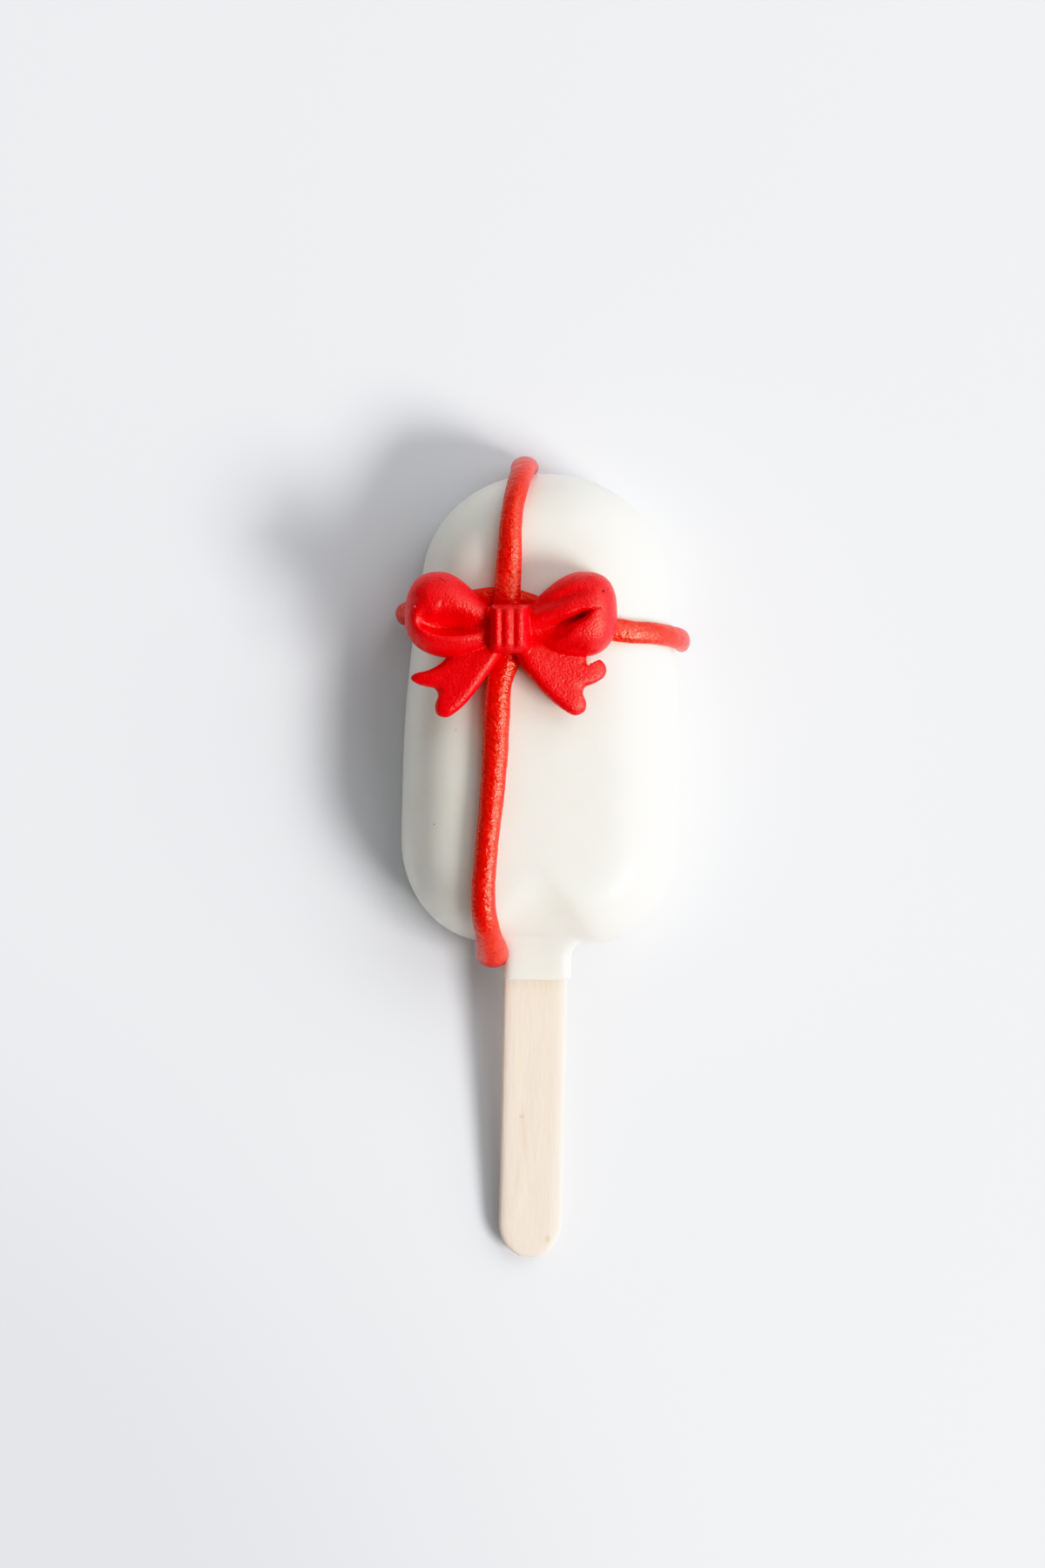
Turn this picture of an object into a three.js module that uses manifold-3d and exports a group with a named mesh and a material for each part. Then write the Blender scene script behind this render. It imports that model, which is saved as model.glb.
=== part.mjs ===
// A cakesicle: a slab of cake in a white chocolate shell on a flat wooden stick, tied like
// a parcel with two red modelling-paste strings and a moulded red bow.
// Millimetres, +Z up. It lies on its flat back: +Y runs to the round end, the stick to -Y.
// The origin is the middle of the whole piece's footprint, on the surface it lies on.

import * as THREE from 'three';
import { mergeVertices } from 'three/addons/utils/BufferGeometryUtils.js';
import Module from 'manifold-3d';

const wasm = await Module();
wasm.setup();

const GAP = 0.3; // clearance between touching pieces
const DEG = Math.PI / 180;

// Shell, seen from above: y = 0 is its stick end, x = 0 its long axis.
const SHELL_LENGTH = 73.8;
const SHELL_HALF_WIDTH = 21.85;
const WIDEST_Y = 24.9;
const SIDE_TAPER = 0.00233; // pull-in of the sides per square millimetre from the widest line
const ROUND_END = { length: 14.7, power: 2.2 };
const STICK_END = { corner: 16, flatHalf: 8 };
const SPINE = { from: 14, to: 57.8 }; // middle line that the face falls away from

// Shell, seen from the side.
const SHELL_HEIGHT = 20.6;
const FACE_CROWN = 2.1;
const EDGE_RADIUS = 11;
const EDGE_POWER = 2.15;
const BACK_RADIUS = 1.2;
const WALL_TOP = SHELL_HEIGHT - FACE_CROWN - EDGE_RADIUS;
const RIM_INSET = 0.03; // the wall leans in by this much up to where the edge starts to round

// Stick, and the collar of chocolate round it.
const STICK = { length: 93, width: 10, thickness: 2, showing: 45, bevel: 0.35 };
const STICK_GAP = 0.24;
const STICK_SLOPE = 6.1 * DEG; // its free end dips towards the surface
const COLLAR = { length: 5.3, halfWidth: 5.55, thickness: 5.4, flare: 1.7, power: 5, inShell: 6 };
const STICK_Z = 6.6; // middle of the stick where it leaves the collar

// Strings: plan routes over the face, from rim to rim, and their sections.
const LONG_ROUTE = [
  [-3.7, 73.5], [-5.3, 66], [-5.75, 57], [-6.1, 46], [-7.05, 35],
  [-7.45, 25], [-8.25, 15], [-8.5, 7], [-7.15, 0],
];
const CROSS_ROUTE = [
  [-20.3, 51.2], [-14, 52.2], [-6, 52.6], [3, 50.6], [11, 48.7], [16.7, 48.6], [20.5, 48.1],
];
// Slide is how far a string end moves along the rim on its way down the wall, low how near it
// comes to the surface.
const LONG_STRING = {
  width: 3.9, thickness: 3,
  ends: [
    { width: 4.5, thickness: 2.7, slide: 0.7, low: 1.6 },
    { width: 5, thickness: 4.2, slide: 0.3, low: 4.4 },
  ],
};
const CROSS_STRING = {
  width: 3.4, thickness: 2.2,
  ends: [
    { width: 3.5, thickness: 3, slide: 0, low: 1.6 },
    { width: 3.6, thickness: 2.2, slide: -0.6, low: 1.6 },
  ],
};
const END_ROUNDING = 2.2;
const END_REACH = { full: 6, none: 13 }; // distances from its end where a string has its end's size
const CROSSING_REACH = 5; // half length of the long string's hump over the cross string

// Bow, in its own frame: x to its right loop, origin at the middle of the knot.
const BOW = { x: -5.5, y: 48.4, z: 23.2, turn: 1.1 * DEG };
const LOOP_BACK = -1.5; // the loops' backs reach down beside the crossing strings
const LEFT_LOOP = {
  side: -1, root: 2.6, length: 13, end: 1.5, height: 5.6,
  up: { root: 3.2, belly: 8.45, at: 0.6, power: 2.4 },
  down: { root: 2.8, belly: 4.4, at: 0.45, power: 2.2 },
};
const RIGHT_LOOP = {
  side: 1, root: 2.4, length: 14.15, end: 2, height: 6,
  up: { root: 3.2, belly: 8.75, at: 0.62, power: 2.8 },
  down: { root: 2.1, belly: 4.2, at: 0.58, power: 2.4 },
};
// Where along a loop it is highest, its fall from there to the knot, and how full it is:
// along its edges, towards its outer end, across it and at its sides.
const LOOP_TOP = { at: 0.55, fall: 0.28 };
const LOOP_FULLNESS = { edge: 1.15, end: 3.6, across: 2.8, sides: 2.2 };
const FOLD_LIMIT = 0.25; // a fold leaves at least this share of a loop's height
const LOOP_FOLDS = [
  { from: [-2.5, -0.1], to: [-11.8, 0.3], width: 1.4, depth: 2.2 },
  { from: [-8, 4.5], to: [-15.2, 4.4], width: 1, depth: 0.6 },
  { from: [3, 2.8], to: [7.2, 4.3], width: 0.9, depth: 0.9 },
  { from: [7.2, 4.3], to: [12, 5.7], width: 0.9, depth: 0.7 },
  { from: [3, -1], to: [8.4, -1.2], width: 1.2, depth: 1.2 },
  { from: [8, 0.5], to: [12.4, 2.5], width: 0.75, depth: 3.3 },
];
const LEFT_TAIL = [
  [-4, -1.6], [-10.6, -5.4], [-14.4, -6.8], [-14.95, -7.5], [-14, -8.3], [-11.2, -9.1], [-10.75, -10.1],
  [-11.2, -11.6], [-10.9, -13], [-9.6, -13.5], [-7.9, -12.6], [-6.3, -11.1], [-3.2, -7], [-0.6, -2.2],
];
const RIGHT_TAIL = [
  [0.9, -2.4], [2, -5.6], [5.3, -9.7], [8.9, -12.65], [10.3, -13.15], [11.6, -12.5], [11.85, -11.2],
  [11.35, -9.7], [11.7, -8.85], [14.5, -7.35], [14.95, -6.3], [13.75, -4.65], [11.6, -3.7], [3.6, -1.6],
];
const TAIL = { top: 3.3, fall: 0.13, fullness: 7 }; // a tail thins outwards by fall
const TAIL_CHIP = { x: 12.75, y: -4.65, radius: 0.9 }; // small piece broken from the right tail
const PAD_EDGE = 0.45; // height of the bow's widest line over the middle of its back
const BACK_STEP = 0.15; // the knot's back stands below the tails'
const KNOT = {
  middle: 0.2, halfWidth: 3.15, halfHeight: 3.75, height: 6.9, power: 6, endTaper: 0.1,
  ridge: 1.85, ridgeAt: 0.25, ridgeDepth: 0.55,
};

const clamp = THREE.MathUtils.clamp;
const lerp = THREE.MathUtils.lerp;

// --- Closed meshes ---

// Rings of equal point counts, each a list of [x, y, z], joined into one closed body. They
// run anticlockwise as seen looking back from the last ring to the first.
function loft(rings) {
  const sides = rings[0].length;
  const positions = rings.flat(2);
  const index = [];
  for (let r = 0; r < rings.length - 1; r += 1) {
    for (let s = 0; s < sides; s += 1) {
      const a = r * sides + s;
      const b = r * sides + ((s + 1) % sides);
      index.push(a, b, b + sides, a, b + sides, a + sides);
    }
  }
  addCap(positions, index, rings[0], 0, true);
  addCap(positions, index, rings.at(-1), (rings.length - 1) * sides, false);
  const geometry = new THREE.BufferGeometry();
  geometry.setAttribute('position', new THREE.Float32BufferAttribute(positions, 3));
  geometry.setIndex(index);
  return geometry;
}

function addCap(positions, index, ring, first, reversed) {
  const centre = [0, 1, 2].map((axis) => ring.reduce((sum, point) => sum + point[axis], 0) / ring.length);
  const middle = positions.length / 3;
  positions.push(...centre);
  for (let s = 0; s < ring.length; s += 1) {
    const a = first + s;
    const b = first + ((s + 1) % ring.length);
    index.push(...(reversed ? [middle, b, a] : [middle, a, b]));
  }
}

function toSolid(geometry) {
  geometry.deleteAttribute('normal');
  geometry.deleteAttribute('uv');
  const merged = mergeVertices(geometry, 1e-4);
  const mesh = new wasm.Mesh({
    numProp: 3,
    vertProperties: new Float32Array(merged.attributes.position.array),
    triVerts: new Uint32Array(merged.index.array),
  });
  return new wasm.Manifold(mesh);
}

function toGeometry(solid) {
  const mesh = solid.getMesh();
  const geometry = new THREE.BufferGeometry();
  geometry.setAttribute('position', new THREE.BufferAttribute(mesh.vertProperties, 3));
  geometry.setIndex(new THREE.BufferAttribute(mesh.triVerts, 1));
  geometry.computeVertexNormals();
  return geometry;
}

// --- Shell ---

// Half of the shell's width at a distance y from its stick end.
function shellHalfWidth(y) {
  const side = SHELL_HALF_WIDTH - SIDE_TAPER * Math.max(0, y - WIDEST_Y) ** 2;
  const fromTop = SHELL_LENGTH - y;
  if (fromTop < ROUND_END.length) {
    const reach = clamp(1 - fromTop / ROUND_END.length, 0, 1);
    return side * (1 - reach ** ROUND_END.power) ** (1 / ROUND_END.power);
  }
  if (y < STICK_END.corner) {
    const reach = clamp(1 - y / STICK_END.corner, 0, 1);
    return STICK_END.flatHalf + (side - STICK_END.flatHalf) * Math.sqrt(1 - reach ** 2);
  }
  return side;
}

// Distance from the spine point (0, spineY) to the outline along a unit direction.
function rimDistance(spineY, dx, dy) {
  if (Math.abs(dy) < 1e-9) return shellHalfWidth(spineY);
  let inside = 0;
  let outside = SHELL_LENGTH;
  for (let i = 0; i < 40; i += 1) {
    const middle = (inside + outside) / 2;
    const y = spineY + dy * middle;
    const isIn = y > 0 && y < SHELL_LENGTH && Math.abs(dx * middle) < shellHalfWidth(y);
    if (isIn) inside = middle;
    else outside = middle;
  }
  return inside;
}

// Where a plan point lies: its spine point, and its share of the way out to the rim.
function shellPlace(x, y) {
  const spineY = clamp(y, SPINE.from, SPINE.to);
  const radius = Math.hypot(x, y - spineY);
  if (radius < 1e-6) return { spineY, rim: shellHalfWidth(spineY), share: 0 };
  const rim = rimDistance(spineY, x / radius, (y - spineY) / radius);
  return { spineY, rim, share: radius / rim };
}

// Height of the face where it is a share of the way out, on a line that is rim long.
function faceHeight(share, rim) {
  const fromRim = clamp((1 - share) * rim, 0, EDGE_RADIUS);
  const edge = (1 - (1 - fromRim / EDGE_RADIUS) ** EDGE_POWER) ** (1 / EDGE_POWER);
  return WALL_TOP + EDGE_RADIUS * edge + FACE_CROWN * (1 - share ** 2);
}

function shellHeight(x, y) {
  const place = shellPlace(x, y);
  return faceHeight(Math.min(place.share, 1), place.rim);
}

// Outward normal of the shell over a plan point; on the rim it points sideways.
function shellNormal(x, y, step = 0.05) {
  const place = shellPlace(x, y);
  const inset = 0.12;
  const keep = Math.min(1, (1 - inset / place.rim) / Math.max(place.share, 1e-6));
  const px = x * keep;
  const py = place.spineY + (y - place.spineY) * keep;
  const slopeX = (shellHeight(px + step, py) - shellHeight(px - step, py)) / (2 * step);
  const slopeY = (shellHeight(px, py + step) - shellHeight(px, py - step)) / (2 * step);
  return new THREE.Vector3(-slopeX, -slopeY, 1).normalize();
}

// Evenly spaced outline points, anticlockwise from the middle of the stick end.
function shellOutline(count) {
  const right = [new THREE.Vector3(0, 0, 0)];
  const steps = 200;
  for (let i = 0; i <= steps; i += 1) {
    const y = (SHELL_LENGTH / 2) * (1 - Math.cos((Math.PI * i) / steps));
    right.push(new THREE.Vector3(shellHalfWidth(y), y, 0));
  }
  const half = new THREE.CatmullRomCurve3(right, false, 'centripetal').getSpacedPoints(count / 2);
  const left = half.slice(1, -1).reverse().map((point) => new THREE.Vector3(-point.x, point.y, 0));
  return [...half, ...left].map((point) => {
    const spineY = clamp(point.y, SPINE.from, SPINE.to);
    return { x: point.x, y: point.y, spineY, rim: Math.hypot(point.x, point.y - spineY) };
  });
}

function shellRing(outline, insetOf, heightOf) {
  return outline.map((point) => {
    const share = 1 - insetOf(point) / point.rim;
    const x = point.x * share;
    const y = point.spineY + (point.y - point.spineY) * share;
    return [x, y, heightOf(share, point.rim)];
  });
}

function makeSlab() {
  const outline = shellOutline(72);
  const rings = [];
  for (let i = 0; i <= 2; i += 1) {
    const turn = (i * Math.PI) / 4;
    const inset = BACK_RADIUS * (1 - Math.sin(turn));
    rings.push(shellRing(outline, () => inset, () => BACK_RADIUS * (1 - Math.cos(turn))));
  }
  const edgeSteps = 6;
  for (let i = 0; i <= edgeSteps; i += 1) {
    const inset = EDGE_RADIUS * (1 - Math.cos((i * Math.PI) / 2 / edgeSteps));
    rings.push(shellRing(outline, () => Math.max(inset, RIM_INSET), faceHeight));
  }
  const faceSteps = 3;
  for (let i = 1; i < faceSteps; i += 1) {
    const insetOf = (point) => lerp(EDGE_RADIUS, point.rim, i / faceSteps);
    rings.push(shellRing(outline, insetOf, faceHeight));
  }
  return toSolid(loft([...rings, spineRing(outline)]));
}

// The innermost ring closes the face along the spine.
function spineRing(outline) {
  const share = 0.08;
  return shellRing(outline, (point) => point.rim * (1 - share), faceHeight);
}

// --- Stick and collar ---

// Rounded rectangle ring across the stick's direction, at distance y along it.
function collarRing(y, halfWidth, halfThickness) {
  const ring = [];
  const sides = 28;
  for (let s = 0; s < sides; s += 1) {
    const turn = (s / sides) * 2 * Math.PI;
    const c = Math.cos(turn);
    const q = Math.sin(turn);
    const reach = (Math.abs(c) ** COLLAR.power + Math.abs(q) ** COLLAR.power) ** (-1 / COLLAR.power);
    ring.push([halfWidth * c * reach, y, halfThickness * q * reach]);
  }
  return ring;
}

// The collar flares into the shell's stick end; y = 0 is its tip, in the stick's frame.
function collarGeometry(grow) {
  const rings = [];
  const steps = 6;
  const half = COLLAR.thickness / 2 + grow;
  const wide = COLLAR.halfWidth + grow;
  const tipRound = 0.3;
  const flareUp = 0.7; // the flare's share in thickness
  rings.push(collarRing(-grow, wide - tipRound, half - tipRound));
  for (let i = 0; i <= steps; i += 1) {
    const along = tipRound - grow + (COLLAR.length * i) / steps;
    const flare = COLLAR.flare * Math.max(0, 2 * (i / steps) - 1) ** 2;
    rings.push(collarRing(along, wide + flare, half + flare * flareUp));
  }
  rings.push(collarRing(COLLAR.length + COLLAR.inShell, wide, half));
  return loft(rings.map((ring) => [...ring].reverse()));
}

// Flat stick with both ends rounded, its free end at y = -showing and bevelled edges.
function stickGeometry(grow) {
  const half = STICK.width / 2 + grow - STICK.bevel;
  const low = -STICK.showing - grow + STICK.bevel;
  const high = low + STICK.length + 2 * grow - 2 * STICK.bevel;
  const shape = new THREE.Shape();
  shape.moveTo(half, low + half);
  shape.lineTo(half, high - half);
  shape.absarc(0, high - half, half, 0, Math.PI, false);
  shape.lineTo(-half, low + half);
  shape.absarc(0, low + half, half, Math.PI, 2 * Math.PI, false);
  const depth = STICK.thickness + 2 * grow - 2 * STICK.bevel;
  const geometry = new THREE.ExtrudeGeometry(shape, {
    depth, curveSegments: 12, bevelEnabled: true, bevelSegments: 1,
    bevelSize: STICK.bevel, bevelThickness: STICK.bevel,
  });
  return geometry.translate(0, 0, -depth / 2);
}

// From the stick's own frame to the shell's: tip of the collar, and the dip.
function placeOnStick(geometry) {
  return geometry.rotateX(STICK_SLOPE).translate(0, -COLLAR.length, STICK_Z);
}

// --- Strings ---

// Centre line of a string pressed on the shell: down one wall, over the face, down the other.
function stringLine(route, ends) {
  const plan = new THREE.CatmullRomCurve3(route.map(([x, y]) => new THREE.Vector3(x, y, 0)));
  const start = wallPoints(route[0], ends[0]);
  const end = wallPoints(route.at(-1), ends[1]);
  const face = [];
  const steps = 60;
  for (let i = 1; i < steps; i += 1) {
    const point = plan.getPoint(0.5 - 0.5 * Math.cos((Math.PI * i) / steps));
    face.push(new THREE.Vector3(point.x, point.y, shellHeight(point.x, point.y)));
  }
  return new THREE.CatmullRomCurve3([...start.reverse(), ...face, ...end], false, 'centripetal');
}

// Points from the rim down the wall, moving along the outline by slide.
function wallPoints([x, y], { slide, low }) {
  const points = [];
  const steps = 4;
  const onEnd = y < STICK_END.corner / 2 || y > SPINE.to;
  for (let i = 0; i <= steps; i += 1) {
    const moved = slide * (i / steps) ** 1.3;
    const px = onEnd ? x + moved : x;
    const py = onEnd ? y : y + moved;
    const place = shellPlace(px, py);
    const rimX = px / place.share;
    const rimY = place.spineY + (py - place.spineY) / place.share;
    points.push(new THREE.Vector3(rimX, rimY, lerp(WALL_TOP, low, i / steps)));
  }
  return points;
}

// Round-ended string of elliptical section lying on the shell; humpOf lifts it off the shell.
function stringGeometry(route, sizes, grow, count, sides, humpOf) {
  const line = stringLine(route, sizes.ends);
  const length = line.getLength();
  const rings = [];
  for (let i = 0; i <= count; i += 1) {
    const eased = 0.5 - 0.5 * Math.cos((Math.PI * i) / count);
    const share = lerp(eased, i / count, 0.8);
    const point = line.getPointAt(share);
    const tangent = line.getTangentAt(share);
    const normal = shellNormal(point.x, point.y);
    normal.addScaledVector(tangent, -normal.dot(tangent)).normalize();
    const across = new THREE.Vector3().crossVectors(normal, tangent);
    const end = sizes.ends[share < 0.5 ? 0 : 1];
    const fromEnd = Math.min(share, 1 - share) * length;
    const round = Math.sqrt(1 - (1 - clamp(fromEnd / END_ROUNDING, 0.06, 1)) ** 2);
    const swell = 1 - THREE.MathUtils.smoothstep(fromEnd, END_REACH.full, END_REACH.none);
    const halfWidth = lerp(sizes.width, end.width, swell) / 2;
    const halfThick = lerp(sizes.thickness, end.thickness, swell) / 2;
    const centre = point.clone().addScaledVector(normal, GAP + halfThick + humpOf(point));
    const reach = { across: (halfWidth + grow) * round, out: (halfThick + grow) * round };
    rings.push(ovalRing(centre, across, normal, reach, sides));
  }
  return loft(rings);
}

function ovalRing(centre, across, normal, reach, sides) {
  const ring = [];
  for (let s = 0; s < sides; s += 1) {
    const turn = (s / sides) * 2 * Math.PI;
    const point = centre.clone()
      .addScaledVector(across, reach.across * Math.cos(turn))
      .addScaledVector(normal, reach.out * Math.sin(turn));
    ring.push(point.toArray());
  }
  return ring;
}

const flatLie = () => 0;

// The long string rises over the cross string where they cross, under the bow.
function crossingHump(point) {
  const away = clamp(Math.abs(point.y - CROSS_ROUTE[2][1]) / CROSSING_REACH, 0, 1);
  return (CROSS_STRING.thickness + GAP) * (0.5 + 0.5 * Math.cos(Math.PI * away));
}

function longString(grow) {
  return toSolid(stringGeometry(LONG_ROUTE, LONG_STRING, grow, 52, 12, crossingHump));
}

function crossString(grow) {
  return toSolid(stringGeometry(CROSS_ROUTE, CROSS_STRING, grow, 34, 12, flatLie));
}

// --- Bow ---

// One edge of a loop: it swells from the knot to its belly, then rounds to the outer end.
function loopEdge(edge, sign, end, share) {
  const swell = Math.sin((Math.PI / 2) * Math.min(1, share / edge.at)) ** LOOP_FULLNESS.edge;
  const reach = lerp(edge.root, edge.belly, swell) * sign;
  const past = Math.max(0, share - edge.at) / (1 - edge.at);
  return end + (reach - end) * (1 - past ** edge.power) ** (1 / edge.power);
}

// Closed pillow lofted from cross sections: flat underneath, with heightOf on top.
// A section is { at, low, high }; across runs from -1 at its low edge to 1 at its high edge.
function pillowGeometry(sections, base, heightOf, pointOf, topCount) {
  const spread = 0.48 * Math.PI; // draws the points together towards both edges
  const rings = sections.map((section) => {
    const ring = [];
    for (let i = 0; i <= topCount; i += 1) {
      const across = Math.sin(spread * (2 * (i / topCount) - 1)) / Math.sin(spread);
      const side = lerp(section.low, section.high, (across + 1) / 2);
      ring.push(pointOf(section.at, side, heightOf(section, side, across)));
    }
    for (const across of [0.9, 0, -0.9]) {
      ring.push(pointOf(section.at, lerp(section.low, section.high, (across + 1) / 2), base));
    }
    return ring;
  });
  return loft(rings);
}

function foldDepth(x, y) {
  return LOOP_FOLDS.reduce((depth, fold) => {
    const [ax, ay] = fold.from;
    const [bx, by] = fold.to;
    const along = ((x - ax) * (bx - ax) + (y - ay) * (by - ay)) / ((bx - ax) ** 2 + (by - ay) ** 2);
    const near = clamp(along, 0, 1);
    const away = Math.hypot(x - lerp(ax, bx, near), y - lerp(ay, by, near));
    return depth + fold.depth * Math.exp(-((away / fold.width) ** 2));
  }, 0);
}

function makeLoop(loop) {
  const steps = 15;
  const sections = [];
  for (let i = 0; i <= steps; i += 1) {
    const share = Math.sin((Math.PI / 2) * (i / steps)) * 0.999;
    const low = loopEdge(loop.down, -1, loop.end, share);
    const high = loopEdge(loop.up, 1, loop.end, share);
    sections.push({ at: share, low, high });
  }
  const heightOf = (section, side, across) => {
    const x = loop.side * (loop.root + loop.length * section.at);
    const before = Math.max(0, LOOP_TOP.at - section.at) / LOOP_TOP.at;
    const after = Math.max(0, section.at - LOOP_TOP.at) / (1 - LOOP_TOP.at);
    const rise = (1 - LOOP_TOP.fall * before ** 2) * Math.sqrt(1 - after ** LOOP_FULLNESS.end);
    const domed = (1 - Math.abs(across) ** LOOP_FULLNESS.across) ** (1 / LOOP_FULLNESS.sides);
    const puff = loop.height * rise * domed;
    return PAD_EDGE + Math.max(puff - foldDepth(x, side), puff * FOLD_LIMIT);
  };
  const pointOf = (at, side, height) => [loop.side * (loop.root + loop.length * at), side, height];
  if (loop.side > 0) sections.reverse();
  return toSolid(pillowGeometry(sections, LOOP_BACK, heightOf, pointOf, 15));
}

// Knot: a squarish band over the bow's middle, with ridges running up and down it.
function makeKnot() {
  const steps = 9;
  const sections = [];
  for (let i = 0; i <= steps; i += 1) {
    const share = Math.sin((Math.PI / 2) * (2 * (i / steps) - 1));
    const half = KNOT.halfWidth * (1 - KNOT.endTaper * share ** 8);
    sections.push({ at: share, low: -half, high: half });
  }
  const heightOf = (section, side, across) => {
    const x = KNOT.middle + side;
    const wave = 0.5 + 0.5 * Math.cos((2 * Math.PI * (x - KNOT.ridgeAt)) / KNOT.ridge);
    const edgeRound = Math.sqrt(1 - Math.abs(across) ** KNOT.power);
    const endRound = Math.sqrt(1 - Math.abs(section.at) ** KNOT.power);
    return PAD_EDGE + edgeRound * endRound * (KNOT.height - PAD_EDGE - KNOT.ridgeDepth * (1 - wave));
  };
  const pointOf = (at, side, height) => [KNOT.middle + side, KNOT.halfHeight * at, height];
  return toSolid(pillowGeometry(sections, -BACK_STEP, heightOf, pointOf, 18));
}

// Swallow-tailed ribbon end as a thin pad: rings shrink from its outline to its middle.
function makeTail(corners) {
  const plan = corners.map(([x, y]) => new THREE.Vector3(x, y, 0));
  const curve = new THREE.CatmullRomCurve3(plan, true, 'centripetal');
  const outline = curve.getSpacedPoints(52).slice(0, -1);
  const middle = outline.reduce((sum, point) => sum.add(point), new THREE.Vector3());
  middle.divideScalar(outline.length);
  const ringAt = (share, low, rise) => outline.map((point) => {
    const x = lerp(middle.x, point.x, share);
    const y = lerp(middle.y, point.y, share);
    return [x, y, lerp(low, TAIL.top - TAIL.fall * Math.abs(x), rise)];
  });
  const rings = [ringAt(0.94, BACK_STEP, 0), ringAt(1, PAD_EDGE, 0)];
  for (const share of [0.97, 0.88, 0.7]) {
    rings.push(ringAt(share, PAD_EDGE, Math.sqrt(1 - share ** TAIL.fullness)));
  }
  return toSolid(loft(rings));
}

function chipCutter() {
  const geometry = new THREE.CylinderGeometry(TAIL_CHIP.radius, TAIL_CHIP.radius, 8, 12);
  return toSolid(geometry.rotateX(Math.PI / 2).translate(TAIL_CHIP.x, TAIL_CHIP.y, 0));
}

function placeBow(solid) {
  const geometry = toGeometry(solid).rotateZ(BOW.turn).translate(BOW.x, BOW.y, BOW.z);
  return toSolid(geometry);
}

function makeBow() {
  const tails = makeTail(LEFT_TAIL).add(makeTail(RIGHT_TAIL).subtract(chipCutter()));
  const loops = makeLoop(LEFT_LOOP).add(makeLoop(RIGHT_LOOP));
  const whole = placeBow(tails.add(loops).add(makeKnot()));
  return whole.subtract(longString(GAP)).subtract(crossString(GAP));
}

// --- The whole piece ---

function makeCollar(grow) {
  return toSolid(placeOnStick(collarGeometry(grow)));
}

function makeShell() {
  const pocket = toSolid(placeOnStick(stickGeometry(STICK_GAP)));
  return makeSlab().add(makeCollar(0)).subtract(pocket);
}

function finish(color, roughness) {
  return new THREE.MeshStandardMaterial({ color, roughness, metalness: 0 });
}

function addPiece(group, name, geometry, material) {
  const mesh = new THREE.Mesh(geometry, material);
  mesh.name = name;
  group.add(mesh);
}

// The long string clears the cross string under it and the collar beside its lower end.
function makeLongString() {
  return longString(0).subtract(crossString(GAP)).subtract(makeCollar(GAP));
}

const whiteChocolate = finish(0xf3efe6, 0.3);
const birch = finish(0xeddcc0, 0.75);
const redPaste = finish(0xd8121c, 0.42);

const cakesicle = new THREE.Group();
addPiece(cakesicle, 'shell', toGeometry(makeShell()), whiteChocolate);
addPiece(cakesicle, 'stick', placeOnStick(stickGeometry(0)), birch);
addPiece(cakesicle, 'string_cross', toGeometry(crossString(0)), redPaste);
addPiece(cakesicle, 'string_long', toGeometry(makeLongString()), redPaste);
addPiece(cakesicle, 'bow', toGeometry(makeBow()), redPaste);

const extent = new THREE.Box3().setFromObject(cakesicle, true);
const centre = extent.getCenter(new THREE.Vector3());
cakesicle.position.set(-centre.x, -centre.y, -extent.min.z);

export default cakesicle;
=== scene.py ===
import math

import bmesh
import bpy
import numpy as np
from bpy.props import FloatProperty, FloatVectorProperty, PointerProperty
from mathutils import Euler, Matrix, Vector, noise


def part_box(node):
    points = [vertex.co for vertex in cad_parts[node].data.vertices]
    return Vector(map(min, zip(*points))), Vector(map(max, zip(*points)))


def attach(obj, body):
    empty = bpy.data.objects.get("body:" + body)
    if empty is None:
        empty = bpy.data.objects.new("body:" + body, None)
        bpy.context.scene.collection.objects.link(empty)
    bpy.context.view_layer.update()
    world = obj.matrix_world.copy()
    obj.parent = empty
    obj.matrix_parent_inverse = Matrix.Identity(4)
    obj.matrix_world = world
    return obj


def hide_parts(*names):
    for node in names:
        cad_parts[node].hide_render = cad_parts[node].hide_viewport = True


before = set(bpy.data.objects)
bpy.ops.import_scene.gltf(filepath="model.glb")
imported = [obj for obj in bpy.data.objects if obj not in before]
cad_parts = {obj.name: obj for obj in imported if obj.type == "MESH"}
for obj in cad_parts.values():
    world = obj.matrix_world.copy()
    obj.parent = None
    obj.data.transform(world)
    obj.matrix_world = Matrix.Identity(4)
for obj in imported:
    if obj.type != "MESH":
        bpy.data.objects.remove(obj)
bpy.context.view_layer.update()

bl_info = {
    "name": "Cakesicle",
    "version": (1, 0, 0),
    "blender": (4, 5, 0),
    "location": "View3D > Sidebar > Cakesicle",
    "description": "A white chocolate cakesicle tied with red paste strings and a moulded bow",
    "category": "Add Mesh",
}

# Form functions work in millimetres in the slab's own frame: x = 0 is its long axis, y = 0
# its stick end, z = 0 the surface it lies on. to_frame() turns them into the shared frame.
MM = 0.001
SHELL_LOW, SHELL_HIGH = (Vector(corner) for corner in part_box("shell"))
STICK_LOW, STICK_HIGH = (Vector(corner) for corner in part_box("stick"))

# Slab outline
WIDEST_Y = 24.9
SIDE_TAPER = 0.00233
ROUND_END = {"length": 14.7, "power": 2.2}
STICK_END = {"corner": 16, "flat_half": 8}
SPINE = (14, 57.8)
EDGE_POWERS = (2.8, 2.2)
BACK_RADIUS = 1.2

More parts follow.
